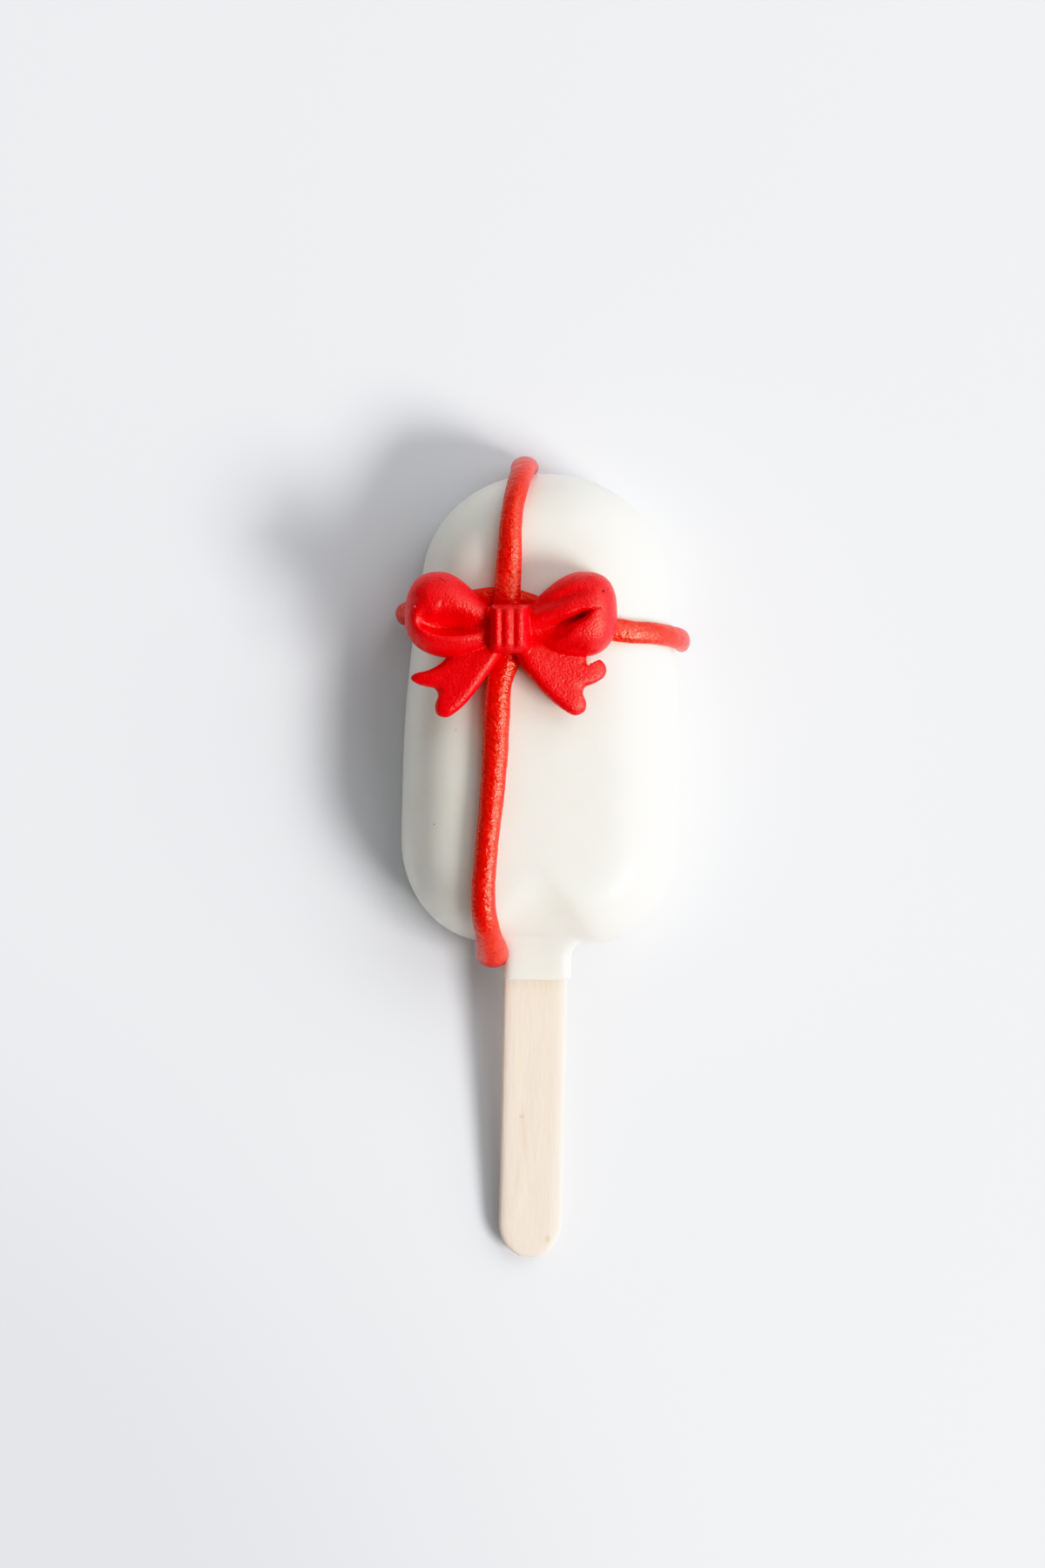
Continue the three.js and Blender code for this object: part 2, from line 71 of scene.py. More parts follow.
# String routes over the face from rim to rim: x, y, width and thickness
LONG_ROUTE = (
    (-3.4, 73.5, 3.7, 3), (-5.1, 66, 3.4, 2.9), (-5.6, 57, 3.95, 2.9), (-5.75, 50, 4.4, 3),
    (-5.8, 45, 4.8, 3.2), (-6.7, 40, 3.95, 3.2), (-6.95, 35, 4.1, 3.2), (-7.3, 25, 3.8, 3.2),
    (-8.1, 15, 3.5, 3.2), (-8.35, 7, 3.8, 3.2), (-7.1, 0, 4.3, 3.5),
)
CROSS_ROUTE = (
    (-20.3, 51.2, 3.4, 2.6), (-14, 52.2, 3.4, 2.4), (-6, 53.3, 3.2, 1.9), (3, 50.6, 3.4, 2.4),
    (11, 48.7, 3.6, 2.4), (16.7, 48.35, 3.4, 2.4), (20.5, 47.85, 3.4, 2.6),
)
# String ends, with how far they slide along the rim on their way down, and how low they come
LONG_ENDS = (
    {"width": 4.2, "thick": 3.1, "slide": 0.45, "low": 1.6},
    {"width": 5.15, "thick": 4.3, "slide": 0.25, "low": 4.4},
)
CROSS_ENDS = (
    {"width": 3.5, "thick": 3.4, "slide": 0, "low": 1.6},
    {"width": 3.5, "thick": 2.7, "slide": 0.1, "low": 1.6},
)
LONG_RINGS, CROSS_RINGS = 780, 460
END_ROUNDING = 2.2
END_REACH = (6, 13)
PRESSED_IN = 0.15
CROSSING = {"y": 53.4, "reach": 4, "rise": 0.7}

# Bow, in its own frame: x to its right loop, origin at the middle of the knot's back
BOW_PLACE = (-5.5, 48.4, 23.2)
BOW_TURN = math.radians(1.1)
PAD_EDGE = 0.45  # height of the edge round its parts
LOOP_BACK = -1.5
LEFT_LOOP = {
    "side": -1, "root": 2.6, "length": 13.2, "end": 1.5, "height": 5.6,
    "up": {"root": 3.2, "belly": 8.75, "at": 0.6, "power": 2.5, "fullness": 2.8},
    "down": {"root": 2.8, "belly": 4.3, "at": 0.45, "power": 2.2, "fullness": 2},
}
RIGHT_LOOP = {
    "side": 1, "root": 2.4, "length": 14.15, "end": 2, "height": 6,
    "up": {"root": 3.2, "belly": 8.75, "at": 0.62, "power": 2.8, "fullness": 2.8},
    "down": {"root": 2.1, "belly": 4.2, "at": 0.58, "power": 2.4, "fullness": 2.8},
}
# What both loops share; "least" is the share of its height that a fold leaves
LOOP = {"tallest": 0.55, "root_drop": 0.28, "end_power": 3.6, "section_power": 2.2,
        "swell_power": 1.15, "least": 0.2, "sections": 120, "last": 0.9995}
# Folds pressed into the loops: x, y, depth, width above and width below the deepest line
LEFT_FOLDS = (
    ((-2.6, 0.1, 0.4, 1, 0.8), (-5.2, 0, 1.5, 1.9, 0.85), (-8.2, 0, 3, 2.2, 0.9),
     (-10.9, 0.15, 2.9, 2.2, 0.85), (-12.5, 0.7, 2, 1.7, 0.8)),
    ((-3.15, -3.2, 0.3, 0.22, 0.22), (-3.18, -1, 0.55, 0.24, 0.24), (-3.18, 1.5, 0.6, 0.26, 0.26),
     (-3.15, 3.4, 0.4, 0.22, 0.22)),
    ((-15.4, 4.3, 0.5, 0.8, 0.8), (-13.6, 4.6, 0.25, 1, 0.9), (-12.3, 4.7, 0, 1, 1)),
)
RIGHT_FOLDS = (
    ((3.2, -0.4, 1.2, 1.3, 1.8), (5.2, -0.3, 1.9, 1.3, 1.9), (7.4, 0.3, 2.3, 1.1, 1.4),
     (9.4, 1.1, 3.2, 0.6, 0.7), (11.2, 1.95, 3.4, 0.5, 0.5), (12, 2.4, 1, 0.35, 0.4)),
    ((12, 2.4, 0.9, 0.2, 0.2), (13.1, 2.85, 0.5, 0.18, 0.18), (13.9, 3.05, 0.2, 0.15, 0.15)),
    ((2.8, 2.7, 0.9, 0.9, 0.9), (7.2, 4.3, 0.95, 1, 0.9), (9.6, 5.1, 0.75, 1, 0.8),
     (12.2, 5.7, 0.2, 0.9, 0.9)),
    ((2.8, -1.9, 0.8, 1, 0.6), (5.6, -2.4, 1, 1.1, 0.7), (8.6, -2.85, 1.1, 1, 0.5),
     (11, -3.1, 0.5, 0.8, 0.5)),
)
# Small marks: x, y and half length in millimetres, how strong, and colour, and where they aren't
# round, narrowness along x and y and turn in degrees. The bow's are in its own frame.
# Of the bow's marks, the first is painted shade in a pinhole, and the pale one on the left loop is
# a painted highlight where its valley's end faces the light; the others are darker specks and a
# darker streak.
BOW_MARKS = (
    (14.3, 5.5, 0.3, 1, (0.06, 0, 0)), (-10, 7.25, 1.1, 0.8, (0.3, 0, 0), (1, 7), -33),
    (12, 7.8, 0.14, 0.6, (0.3, 0, 0)), (12.9, 7.5, 0.12, 0.5, (0.3, 0, 0)),
    (-14.1, 3.2, 0.17, 0.8, (1, 0.55, 0.5)), (10.4, 6.6, 0.1, 0.5, (0.3, 0, 0)),
)
COATING_MARKS = (
    (-16.4, 18.4, 0.14, 0.8, (0.2, 0.12, 0.08)), (-13.3, 33, 0.12, 0.7, (0.25, 0.12, 0.08)),
    (9.5, 62, 0.09, 0.4, (0.4, 0.25, 0.15)),
)
STICK_MARKS = (
    (-2, -27.7, 0.55, 0.45, (0.62, 0.46, 0.28), (1, 1.4), 0),
    (2.5, -47.3, 0.6, 0.5, (0.66, 0.48, 0.27), (1, 0.8), 0),
    (-1.6, -30.5, 6, 0.35, (0.75, 0.52, 0.36), (12, 1), 4),
    (-2.6, -37.5, 5, 0.3, (0.8, 0.55, 0.42), (10, 1), -3),
)
LEFT_TAIL = (
    (-4, -1.6), (-8, -3.2), (-10.6, -5.4), (-12.4, -6.3), (-14.4, -6.8), (-14.95, -7.5),
    (-14, -8.3), (-12.6, -8.75), (-11.2, -9.1), (-10.75, -10.1), (-11.2, -11.6), (-10.9, -13),
    (-9.6, -13.5), (-7.9, -12.6), (-6.3, -11.1), (-4.9, -9.4), (-3.2, -7), (-1.7, -4.9),
    (-0.6, -2.2),
)
RIGHT_TAIL = (
    (0.9, -2.4), (2, -5.6), (3.4, -7.4), (5.3, -9.7), (7.3, -11.5), (8.9, -12.65), (10.3, -13.15),
    (11.6, -12.5), (11.85, -11.2), (11.35, -9.7), (11.7, -8.85), (13.2, -8.2), (14.5, -7.35),
    (14.95, -6.3), (14.6, -5.2), (13.8, -4.6), (13.25, -5.2), (12.65, -5.6), (12, -5.3),
    (11.7, -3.9), (8.6, -2.6), (3.6, -1.6),
)
TAIL = {"top": 3.3, "fall": 0.13, "back": -0.5, "roundness": 7, "under": (0.3, 0.6, 0.97),
        "samples": 24, "points": 300, "rings": 34}
KNOT = {
    "middle": 0.2, "half_width": 3.15, "half_height": 3.75, "back": -0.6, "height": 6.85,
    "power": 7.5, "ridge": 1.85, "ridge_at": -0.12, "depth": 0.36, "waist": 0.1, "waist_power": 8,
    "sections": 70,
}
FOLD_POINTS = 140
PILLOW_POINTS = {"over": 130, "under": 26}


# Settings

def size(name, description, default, unit="LENGTH"):
    return FloatProperty(name=name, description=description, default=default, unit=unit)


def width_factor(name, description):
    return FloatProperty(name=name, description=description, default=1, subtype="FACTOR")


def finish_colour(name, description, default):
    return FloatVectorProperty(name=name, description=description, default=default, subtype="COLOR",
                               min=0, max=1)


class CakesicleSizes(bpy.types.PropertyGroup):
    """Sizes of the cakesicle's pieces."""

    shell_length: size("Slab length", "Length of the coated slab without its collar", 73.8 * MM)
    shell_width: size("Slab width", "Width of the slab at its widest", SHELL_HIGH.x - SHELL_LOW.x)
    shell_height: size("Slab height", "Height of the face over the flat back", SHELL_HIGH.z)
    edge_radius: size("Edge radius", "Radius of the moulded edge round the face", 13 * MM)
    face_crown: size("Face crown", "Rise of the face from its edge to its middle", 2.1 * MM)
    collar_width: size("Collar width", "Width of the chocolate round the stick", 10.6 * MM)
    collar_thickness: size("Collar thickness", "Thickness of that chocolate", 5.4 * MM)
    stick_length: size("Stick length", "Whole length of the stick", 93 * MM)
    stick_width: size("Stick width", "Width of the stick", STICK_HIGH.x - STICK_LOW.x)
    stick_thickness: size("Stick thickness", "Thickness of the stick", 2 * MM)
    stick_dip: size("Stick dip", "Slope down towards its free end", math.radians(6.1), "ROTATION")
    long_string_scale: width_factor("Long string width", "Width against its usual width")
    cross_string_scale: width_factor("Cross string width", "Width against its usual width")
    bow_grain: size("Bow mesh size", "Size of the bow's mesh faces", 0.15 * MM)


class CakesicleColours(bpy.types.PropertyGroup):
    """Colours of the cakesicle's finishes."""

    chocolate: finish_colour("White chocolate", "Colour of the coating", (0.85, 0.826, 0.752))
    birch: finish_colour("Birch", "Colour of the stick", (0.87, 0.71, 0.6))
    string_red: finish_colour("String red", "Colour of the rolled paste", (0.79, 0.008, 0.006))
    bow_red: finish_colour("Bow red", "Colour of the moulded bow", (0.86, 0.004, 0.017))
    floor: finish_colour("Floor", "Colour of the surface it lies on", (0.82, 0.83, 0.87))


# Shared helpers

def to_frame(points, sizes):
    """Slab coordinates in millimetres to the shared frame in metres."""
    axis_x = (SHELL_LOW.x + SHELL_HIGH.x) / 2
    shift = np.array((axis_x, SHELL_HIGH.y - sizes.shell_length, 0))
    return np.asarray(points, dtype=float) * MM + shift


def mix(a, b, share):
    return a + (b - a) * share


def turned(a, b, angle):
    """Two coordinates turned by an angle."""
    c, s = math.cos(angle), math.sin(angle)
    return a * c - b * s, a * s + b * c


def circle(count):
    """Cosines and sines of evenly spaced turns."""
    turn = np.linspace(0, 2 * math.pi, count, endpoint=False)
    return np.cos(turn), np.sin(turn)


def rounded(share, power):
    """Outline of a rounded end: 1 where the rounding starts and 0 at its tip."""
    return (1 - share ** power) ** (1 / power)


def unit(vectors):
    return vectors / np.linalg.norm(vectors, axis=-1, keepdims=True)


def smooth_step(value):
    value = np.clip(value, 0, 1)
    return value * value * (3 - 2 * value)


def spline(points, shares, power=0, closed=False):
    """Smooth curve through points, at shares from 0 to 1 of their spans. The tangents weigh the
    spans by that power of their lengths."""
    knots = np.asarray(points, dtype=float)
    if closed:
        padded = np.vstack((knots[-1], knots, knots[:2]))
    else:
        padded = np.vstack((2 * knots[0] - knots[1], knots, 2 * knots[-1] - knots[-2]))
    spans = len(padded) - 3
    spot = np.clip(shares, 0, 1) * spans
    start = np.minimum(spot.astype(int), spans - 1)
    t = (spot - start)[:, None]
    p0, p1, p2, p3 = (padded[start + step] for step in range(4))
    before, gap, after = (np.linalg.norm(to - at, axis=1, keepdims=True) ** power
                          for at, to in ((p0, p1), (p1, p2), (p2, p3)))
    lean1 = ((p1 - p0) / before - (p2 - p0) / (before + gap) + (p2 - p1) / gap) * gap
    lean2 = ((p2 - p1) / gap - (p3 - p1) / (gap + after) + (p3 - p2) / after) * gap
    return ((2 * t ** 3 - 3 * t ** 2 + 1) * p1 + (t ** 3 - 2 * t ** 2 + t) * lean1
            + (-2 * t ** 3 + 3 * t ** 2) * p2 + (t ** 3 - t ** 2) * lean2)


def spaced(points, count, closed=False):
    """Evenly spaced points along a polyline."""
    line = np.vstack((points, points[:1])) if closed else np.asarray(points)
    steps = np.linalg.norm(np.diff(line, axis=0), axis=1)
    along = np.concatenate(((0,), np.cumsum(steps)))
    wanted = np.linspace(0, along[-1], count + 1 if closed else count)
    result = np.column_stack([np.interp(wanted, along, column) for column in line.T])
    return result[:-1] if closed else result


def new_mesh(name, points, faces):
    mesh = bpy.data.meshes.new(name)
    mesh.from_pydata(points, [], faces)
    mesh.update()
    return mesh


def rings_to_mesh(name, rings):
    """Closed mesh lofted through rings of equal point counts, in metres."""
    rings = np.asarray(rings)
    count, sides = rings.shape[:2]
    points = np.vstack((rings.reshape(-1, 3), rings[0].mean(axis=0), rings[-1].mean(axis=0)))
    side = np.arange(sides)
    following = (side + 1) % sides
    strip = np.stack((side, following, following + sides, side + sides), axis=1)
    faces = np.vstack([strip + ring * sides for ring in range(count - 1)]).tolist()
    end = (count - 1) * sides
    for middle, edge in ((-2, (following, side)), (-1, (end + side, end + following))):
        hub = np.full(sides, len(points) + middle)
        faces += np.stack((hub, *edge), axis=1).tolist()
    return new_mesh(name, points.tolist(), faces)


def add_object(name, mesh):
    piece = bpy.data.objects.new(name, mesh)
    bpy.context.scene.collection.objects.link(piece)
    return piece


def join_meshes(name, meshes):
    """One mesh that holds all the given ones."""
    joined = bmesh.new()
    for mesh in meshes:
        joined.from_mesh(mesh)
        bpy.data.meshes.remove(mesh)
    result = bpy.data.meshes.new(name)
    joined.to_mesh(result)
    joined.free()
    return result


def modify(piece, kind, **settings):
    """Run a modifier over a piece and keep the mesh that it makes."""
    modifier = piece.modifiers.new(kind, kind)
    for key, value in settings.items():
        setattr(modifier, key, value)
    graph = bpy.context.evaluated_depsgraph_get()
    made = bpy.data.meshes.new_from_object(piece.evaluated_get(graph), depsgraph=graph)
    old = piece.data
    piece.modifiers.clear()
    piece.data = made
    bpy.data.meshes.remove(old)


def remesh(piece, size):
    modify(piece, "REMESH", mode="VOXEL", voxel_size=size, adaptivity=0)


def points_of(mesh, what="co"):
    flat = np.empty(len(mesh.vertices) * 3)
    mesh.vertices.foreach_get(what, flat)
    return flat.reshape(-1, 3)


def normals_of(mesh):
    return points_of(mesh, "normal")


def set_points(mesh, points):
    mesh.vertices.foreach_set("co", np.asarray(points).ravel())
    mesh.update()


def weighted(piece, kind, weights, steps, **settings):
    """Apply a modifier to a mesh as strongly as its points' weights, rounded to steps."""
    group = piece.vertex_groups.new(name=kind)
    levels = np.round(np.clip(weights, 0, 1) * steps).astype(int)
    for level in range(1, steps + 1):
        chosen = np.nonzero(levels == level)[0]
        if len(chosen):
            group.add(chosen.tolist(), level / steps, "REPLACE")
    modify(piece, kind, vertex_group=group.name, **settings)
    piece.vertex_groups.clear()


def relax(piece, weights, times):
    """Smooth a mesh where its points have weight."""
    weighted(piece, "SMOOTH", weights, steps=10, factor=0.5, iterations=times)


NOISE_SHIFT = (1, 0.7, 0.3)  # how an offset moves a noise pattern


def unevenness(points, scale, detail=2, offset=0):
    """Smooth noise at each point, about -1 to 1; scale is the size of its lumps in metres."""
    shift = Vector([offset * share for share in NOISE_SHIFT])
    return np.array([
        noise.fractal(Vector(point) / scale + shift, 1, 2, detail) for point in points
    ])


def noise_along(values, second, third):
    """Smooth noise along a line of values, at the same two other coordinates."""
    return np.array([noise.noise(Vector((value, second, third))) for value in values])


def finish_piece(piece, material, node):
    piece.data.materials.clear()
    piece.data.materials.append(material)
    piece.data.polygons.foreach_set("use_smooth", [True] * len(piece.data.polygons))
    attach(piece, "root")
    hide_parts(node)


# Slab form

# How finely the slab is drawn, and where its rings lie on the back and the face
RINGS = {"round": 720, "back": 6, "wall": 8, "edge": 41, "face": 26}
BACK_INSETS = (16, 10, 5, 2, 0.6)
FACE_INSET = 21.5
DEEPEST_INSET = 0.98
OUTLINE_SAMPLES = 900
HALVINGS = 36
# Distances for taking slopes, and the smallest one to divide by
RIM_GAP = 0.12
SLOPE_STEP = 0.05
TINY = 1e-6


class SlabForm:
    """Outline and face of the coated slab, in millimetres."""

    def __init__(self, sizes):
        self.length = sizes.shell_length / MM
        self.half = sizes.shell_width / MM / 2
        self.edge = sizes.edge_radius / MM
        self.crown = sizes.face_crown / MM
        self.wall_top = sizes.shell_height / MM - self.crown - self.edge

    def half_width(self, y):
        side = self.half - SIDE_TAPER * np.maximum(0, y - WIDEST_Y) ** 2
        over = np.clip(1 - (self.length - y) / ROUND_END["length"], 0, 1)
        under = np.clip(1 - y / STICK_END["corner"], 0, 1)
        flat = STICK_END["flat_half"]
        cornered = flat + (side - flat) * np.sqrt(1 - under ** 2)
        return np.where(under > 0, cornered, side * rounded(over, ROUND_END["power"]))

    def rim_distance(self, spine_y, dx, dy):
        """From the spine to the outline along unit directions."""
        inside = np.zeros_like(spine_y)
        outside = np.full_like(spine_y, self.length)
        for _ in range(HALVINGS):
            middle = (inside + outside) / 2
            y = spine_y + dy * middle
            is_in = (y > 0) & (y < self.length) & (np.abs(dx * middle) < self.half_width(y))
            inside = np.where(is_in, middle, inside)
            outside = np.where(is_in, outside, middle)
        return inside

    def place(self, x, y):
        """Spine point, length of the line to the rim, and the share of it at (x, y)."""
        spine_y = np.clip(y, *SPINE)
        radius = np.maximum(np.hypot(x, y - spine_y), TINY)
        rim = self.rim_distance(spine_y, x / radius, (y - spine_y) / radius)
        return spine_y, rim, radius / rim

    def face_height(self, share, rim):
        from_rim = np.clip((1 - share) * rim, 0, self.edge) / self.edge
        edge = (1 - (1 - from_rim) ** EDGE_POWERS[0]) ** (1 / EDGE_POWERS[1])
        return self.wall_top + self.edge * edge + self.crown * (1 - share ** 2)

    def height(self, x, y):
        _, rim, share = self.place(x, y)
        return self.face_height(np.minimum(share, 1), rim)

    def normal(self, x, y, step=SLOPE_STEP):
        """Outward normal over plan points; on the rim it points sideways."""
        spine_y, rim, share = self.place(x, y)
        keep = np.minimum(1, (1 - RIM_GAP / rim) / np.maximum(share, TINY))
        px, py = x * keep, spine_y + (y - spine_y) * keep
        slope_x = (self.height(px + step, py) - self.height(px - step, py)) / (2 * step)
        slope_y = (self.height(px, py + step) - self.height(px, py - step)) / (2 * step)
        return unit(np.stack((-slope_x, -slope_y, np.ones_like(slope_x)), axis=-1))

    def outline(self, count):
        """Evenly spaced points, anticlockwise from the middle of the stick end."""
        y = self.length / 2 * (1 - np.cos(np.linspace(0, math.pi, OUTLINE_SAMPLES)))
        right = np.column_stack((self.half_width(y), y))
        right[-1] = (0, self.length)
        half = spaced(np.vstack(((0, 0), right)), count // 2 + 1)
        left = half[-2:0:-1] * (-1, 1)
        return np.vstack((half, left))

    def ring(self, outline, inset, height=None):
        """Ring set in from the outline; its heights follow the face unless given."""
        spine_y = np.clip(outline[:, 1], *SPINE)
        rim = np.hypot(outline[:, 0], outline[:, 1] - spine_y)
        share = 1 - np.minimum(inset, rim * DEEPEST_INSET) / rim
        x = outline[:, 0] * share
        y = mix(spine_y, outline[:, 1], share)
        z = self.face_height(share, rim) if height is None else np.full_like(x, height)
        return np.column_stack((x, y, z))

    def slab_rings(self):
        """Rings from the middle of the back, up the wall and in over the face."""
        outline = self.outline(RINGS["round"])
        rings = [self.ring(outline, BACK_RADIUS + step, 0) for step in BACK_INSETS]
        for turn in np.sin(np.linspace(0, math.pi / 2, RINGS["back"])):
            rise = BACK_RADIUS * (1 - math.sqrt(1 - turn ** 2))
            rings.append(self.ring(outline, BACK_RADIUS * (1 - turn), rise))
        for z in np.linspace(2 * BACK_RADIUS, self.wall_top, RINGS["wall"]):
            rings.append(self.ring(outline, 0, z))
        for turn in np.linspace(0, math.pi / 2, RINGS["edge"])[1:]:
            rings.append(self.ring(outline, self.edge * (1 - math.cos(turn))))
        for inset in np.linspace(self.edge, FACE_INSET, RINGS["face"])[1:]:
            rings.append(self.ring(outline, inset))
        return rings


# Shader node groups

def new_group(name, inputs, outputs):
    """Empty shader node group; inputs are names with defaults, and outputs are single values."""
    group = bpy.data.node_groups.new(name, "ShaderNodeTree")
    for label, value in inputs.items():
        kind = "NodeSocketVector" if isinstance(value, tuple) else "NodeSocketFloat"
        group.interface.new_socket(label, in_out="INPUT", socket_type=kind).default_value = value
    for label in outputs:
        group.interface.new_socket(label, in_out="OUTPUT", socket_type="NodeSocketFloat")
    return group, group.nodes.new("NodeGroupInput"), group.nodes.new("NodeGroupOutput")


def feed(tree, node, inputs):
    """Link or set a node's inputs, given by name or, as i0, i1 and so on, by number."""
    for key, value in inputs.items():
        socket = node.inputs[int(key[1:]) if key[1:].isdigit() else key.replace("_", " ")]
        if isinstance(value, bpy.types.NodeSocket):
            tree.links.new(value, socket)
        else:
            socket.default_value = value


def add_node(tree, kind, settings=None, **inputs):
    node = tree.nodes.new(kind)
    for key, value in (settings or {}).items():
        setattr(node, key, value)
    feed(tree, node, inputs)
    return node


def math_node(tree, operation, first, second):
    node = add_node(tree, "ShaderNodeMath", {"operation": operation}, i0=first, i1=second)
    return node.outputs[0]


def vector_node(tree, operation, first, second=(0, 0, 0)):
    settings = {"operation": operation}
    return add_node(tree, "ShaderNodeVectorMath", settings, i0=first, i1=second).outputs


def remap(tree, value, low, high, new_low=0, new_high=1):
    node = add_node(tree, "ShaderNodeMapRange", {"interpolation_type": "SMOOTHSTEP"},
                    i0=value, i1=low, i2=high, i3=new_low, i4=new_high)
    return node.outputs[0]


def noise_node(tree, vector, scale, detail=3, roughness=0.5):
    node = add_node(tree, "ShaderNodeTexNoise", Vector=vector, Scale=scale, Detail=detail,
                    Roughness=roughness)
    return node.outputs["Fac"]


def mix_colour(tree, share, first, second):
    node = add_node(tree, "ShaderNodeMix", {"data_type": "RGBA"}, i0=share, i6=first, i7=second)
    return node.outputs[2]


def grain_group():
    """Fine grain over soft lumps, as on paste and chocolate."""
    if "Sweet grain" in bpy.data.node_groups:
        return bpy.data.node_groups["Sweet grain"]
    inputs = {"Vector": (0, 0, 0), "Grain size": 0.0003, "Lump size": 0.003, "Lumpiness": 0.5}
    group, start, end = new_group("Sweet grain", inputs, ("Height", "Grain", "Lumps"))
    vector = start.outputs["Vector"]
    grain_scale = math_node(group, "DIVIDE", 1, start.outputs["Grain size"])
    fine = noise_node(group, vector, grain_scale, detail=2, roughness=0.6)
    lumps = noise_node(group, vector, math_node(group, "DIVIDE", 1, start.outputs["Lump size"]))
    share = start.outputs["Lumpiness"]
    rough = math_node(group, "MULTIPLY", lumps, share)
    rest = math_node(group, "SUBTRACT", 1, share)
    height = math_node(group, "ADD", math_node(group, "MULTIPLY", fine, rest), rough)
    feed(group, end, {"Height": height, "Grain": fine, "Lumps": lumps})
    return group


def spot_group():
    """Soft round mark at a place on the piece."""
    if "Spot" in bpy.data.node_groups:
        return bpy.data.node_groups["Spot"]
    inputs = {"Vector": (0, 0, 0), "Centre": (0, 0, 0), "Radius": 0.0003, "Narrowness": (1, 1, 0),
              "Turn": 0}
    group, start, end = new_group("Spot", inputs, ("Mask",))
    away = vector_node(group, "SUBTRACT", start.outputs["Vector"], start.outputs["Centre"])[0]
    aligned = add_node(group, "ShaderNodeVectorRotate", {"rotation_type": "Z_AXIS"}, Vector=away,
                       Angle=start.outputs["Turn"]).outputs[0]
    scaled = vector_node(group, "MULTIPLY", aligned, start.outputs["Narrowness"])[0]
    length = vector_node(group, "LENGTH", scaled)["Value"]
    share = math_node(group, "DIVIDE", length, start.outputs["Radius"])
    feed(group, end, {"Mask": remap(group, share, 0.5, 1, 1, 0)})
    return group


def place_group(tree, group, **inputs):
    return add_node(tree, "ShaderNodeGroup", {"node_tree": group}, **inputs)


# Materials

def new_material(name, **values):
    """A material, its tree, its Principled shader with these values, and object coordinates."""
    material = bpy.data.materials.new(name)
    material.use_nodes = True
    tree = material.node_tree
    shader = tree.nodes["Principled BSDF"]
    feed(tree, shader, values)
    where = tree.nodes.new("ShaderNodeTexCoord").outputs["Object"]
    return material, tree, shader, where


def dress(tree, shader, colour, roughness, height, relief):
    """Link a shader's colour and roughness, and bump it by a height map of the given relief."""
    bump = add_node(tree, "ShaderNodeBump", Strength=1, Distance=relief, Height=height).outputs[0]
    feed(tree, shader, {"Base Color": colour, "Roughness": roughness, "Normal": bump})


def mottled(tree, mask, low, high, colour, first, second):
    """Colour that goes from one shade to another as the mask rises from low to high."""
    share = remap(tree, mask, low, high)
    return mix_colour(tree, share, shade(colour, first), shade(colour, second))


def add_marks(tree, where, colour, marks, sizes, place=np.asarray):
    """Lay small coloured marks over a colour; place turns their frame's points to the slab's."""
    for x, y, reach, strength, tone, *shape in marks:
        narrow, turn = shape or ((1, 1), 0)
        centre = to_frame(place(np.array([(x, y, 0)])), sizes)[0]
        spot = place_group(tree, spot_group(), Vector=where, Centre=centre, Radius=reach * MM,
                           Narrowness=(*narrow, 0), Turn=-math.radians(turn))
        share = math_node(tree, "MULTIPLY", spot.outputs["Mask"], strength)
        colour = mix_colour(tree, share, colour, shade(tone))
    return colour


def shade(colour, factor=1):
    return (*(min(1, channel * factor) for channel in colour), 1)


def white_chocolate(colours, sizes):
    material, tree, shader, where = new_material(
        "White chocolate", IOR=1.45, Specular_IOR_Level=0.4, Subsurface_Weight=0.5,
        Subsurface_Scale=0.002, Subsurface_Radius=(1, 0.6, 0.35))
    grain = place_group(tree, grain_group(), Vector=where, Grain_size=0.0009, Lump_size=0.011,
                        Lumpiness=0.6)
    warm = mottled(tree, grain.outputs["Lumps"], 0.35, 0.7, colours.chocolate, 1, 0.965)
    marked = add_marks(tree, where, warm, COATING_MARKS, sizes)
    rough = remap(tree, grain.outputs["Height"], 0.3, 0.7, 0.3, 0.38)
    dress(tree, shader, marked, rough, grain.outputs["Grain"], 0.00002)
    return material


def red_paste(name, colour, gloss, grain, bump, sizes, marks=()):
    """Paste; gloss is its reflectance and least and most roughness, and grain is the size of its
    fine grain, how lumpy that is and its stretch along each axis."""
    reflectance, smoothest, roughest = gloss
    material, tree, shader, where = new_material(
        name, IOR=1.5, Specular_IOR_Level=reflectance, Specular_Tint=(1, 0.92, 0.68, 1),
        Subsurface_Weight=0.1, Subsurface_Scale=0.0004, Subsurface_Radius=(1, 0.1, 0.06))
    size, lumpiness, stretch = grain
    drawn = add_node(tree, "ShaderNodeMapping", Vector=where, Scale=stretch).outputs[0]
    grain = place_group(tree, grain_group(), Vector=drawn, Grain_size=size, Lump_size=0.0016,
                        Lumpiness=lumpiness)
    tone = mottled(tree, grain.outputs["Height"], 0.35, 0.65, colour, 0.88, 1.06)
    # On the bow these marks include a painted highlight and the painted shade of a pinhole
    marked = add_marks(tree, where, tone, marks, sizes, place_bow)
    rough = remap(tree, grain.outputs["Grain"], 0.3, 0.7, smoothest, roughest)
    dress(tree, shader, marked, rough, grain.outputs["Height"], bump)
    return material


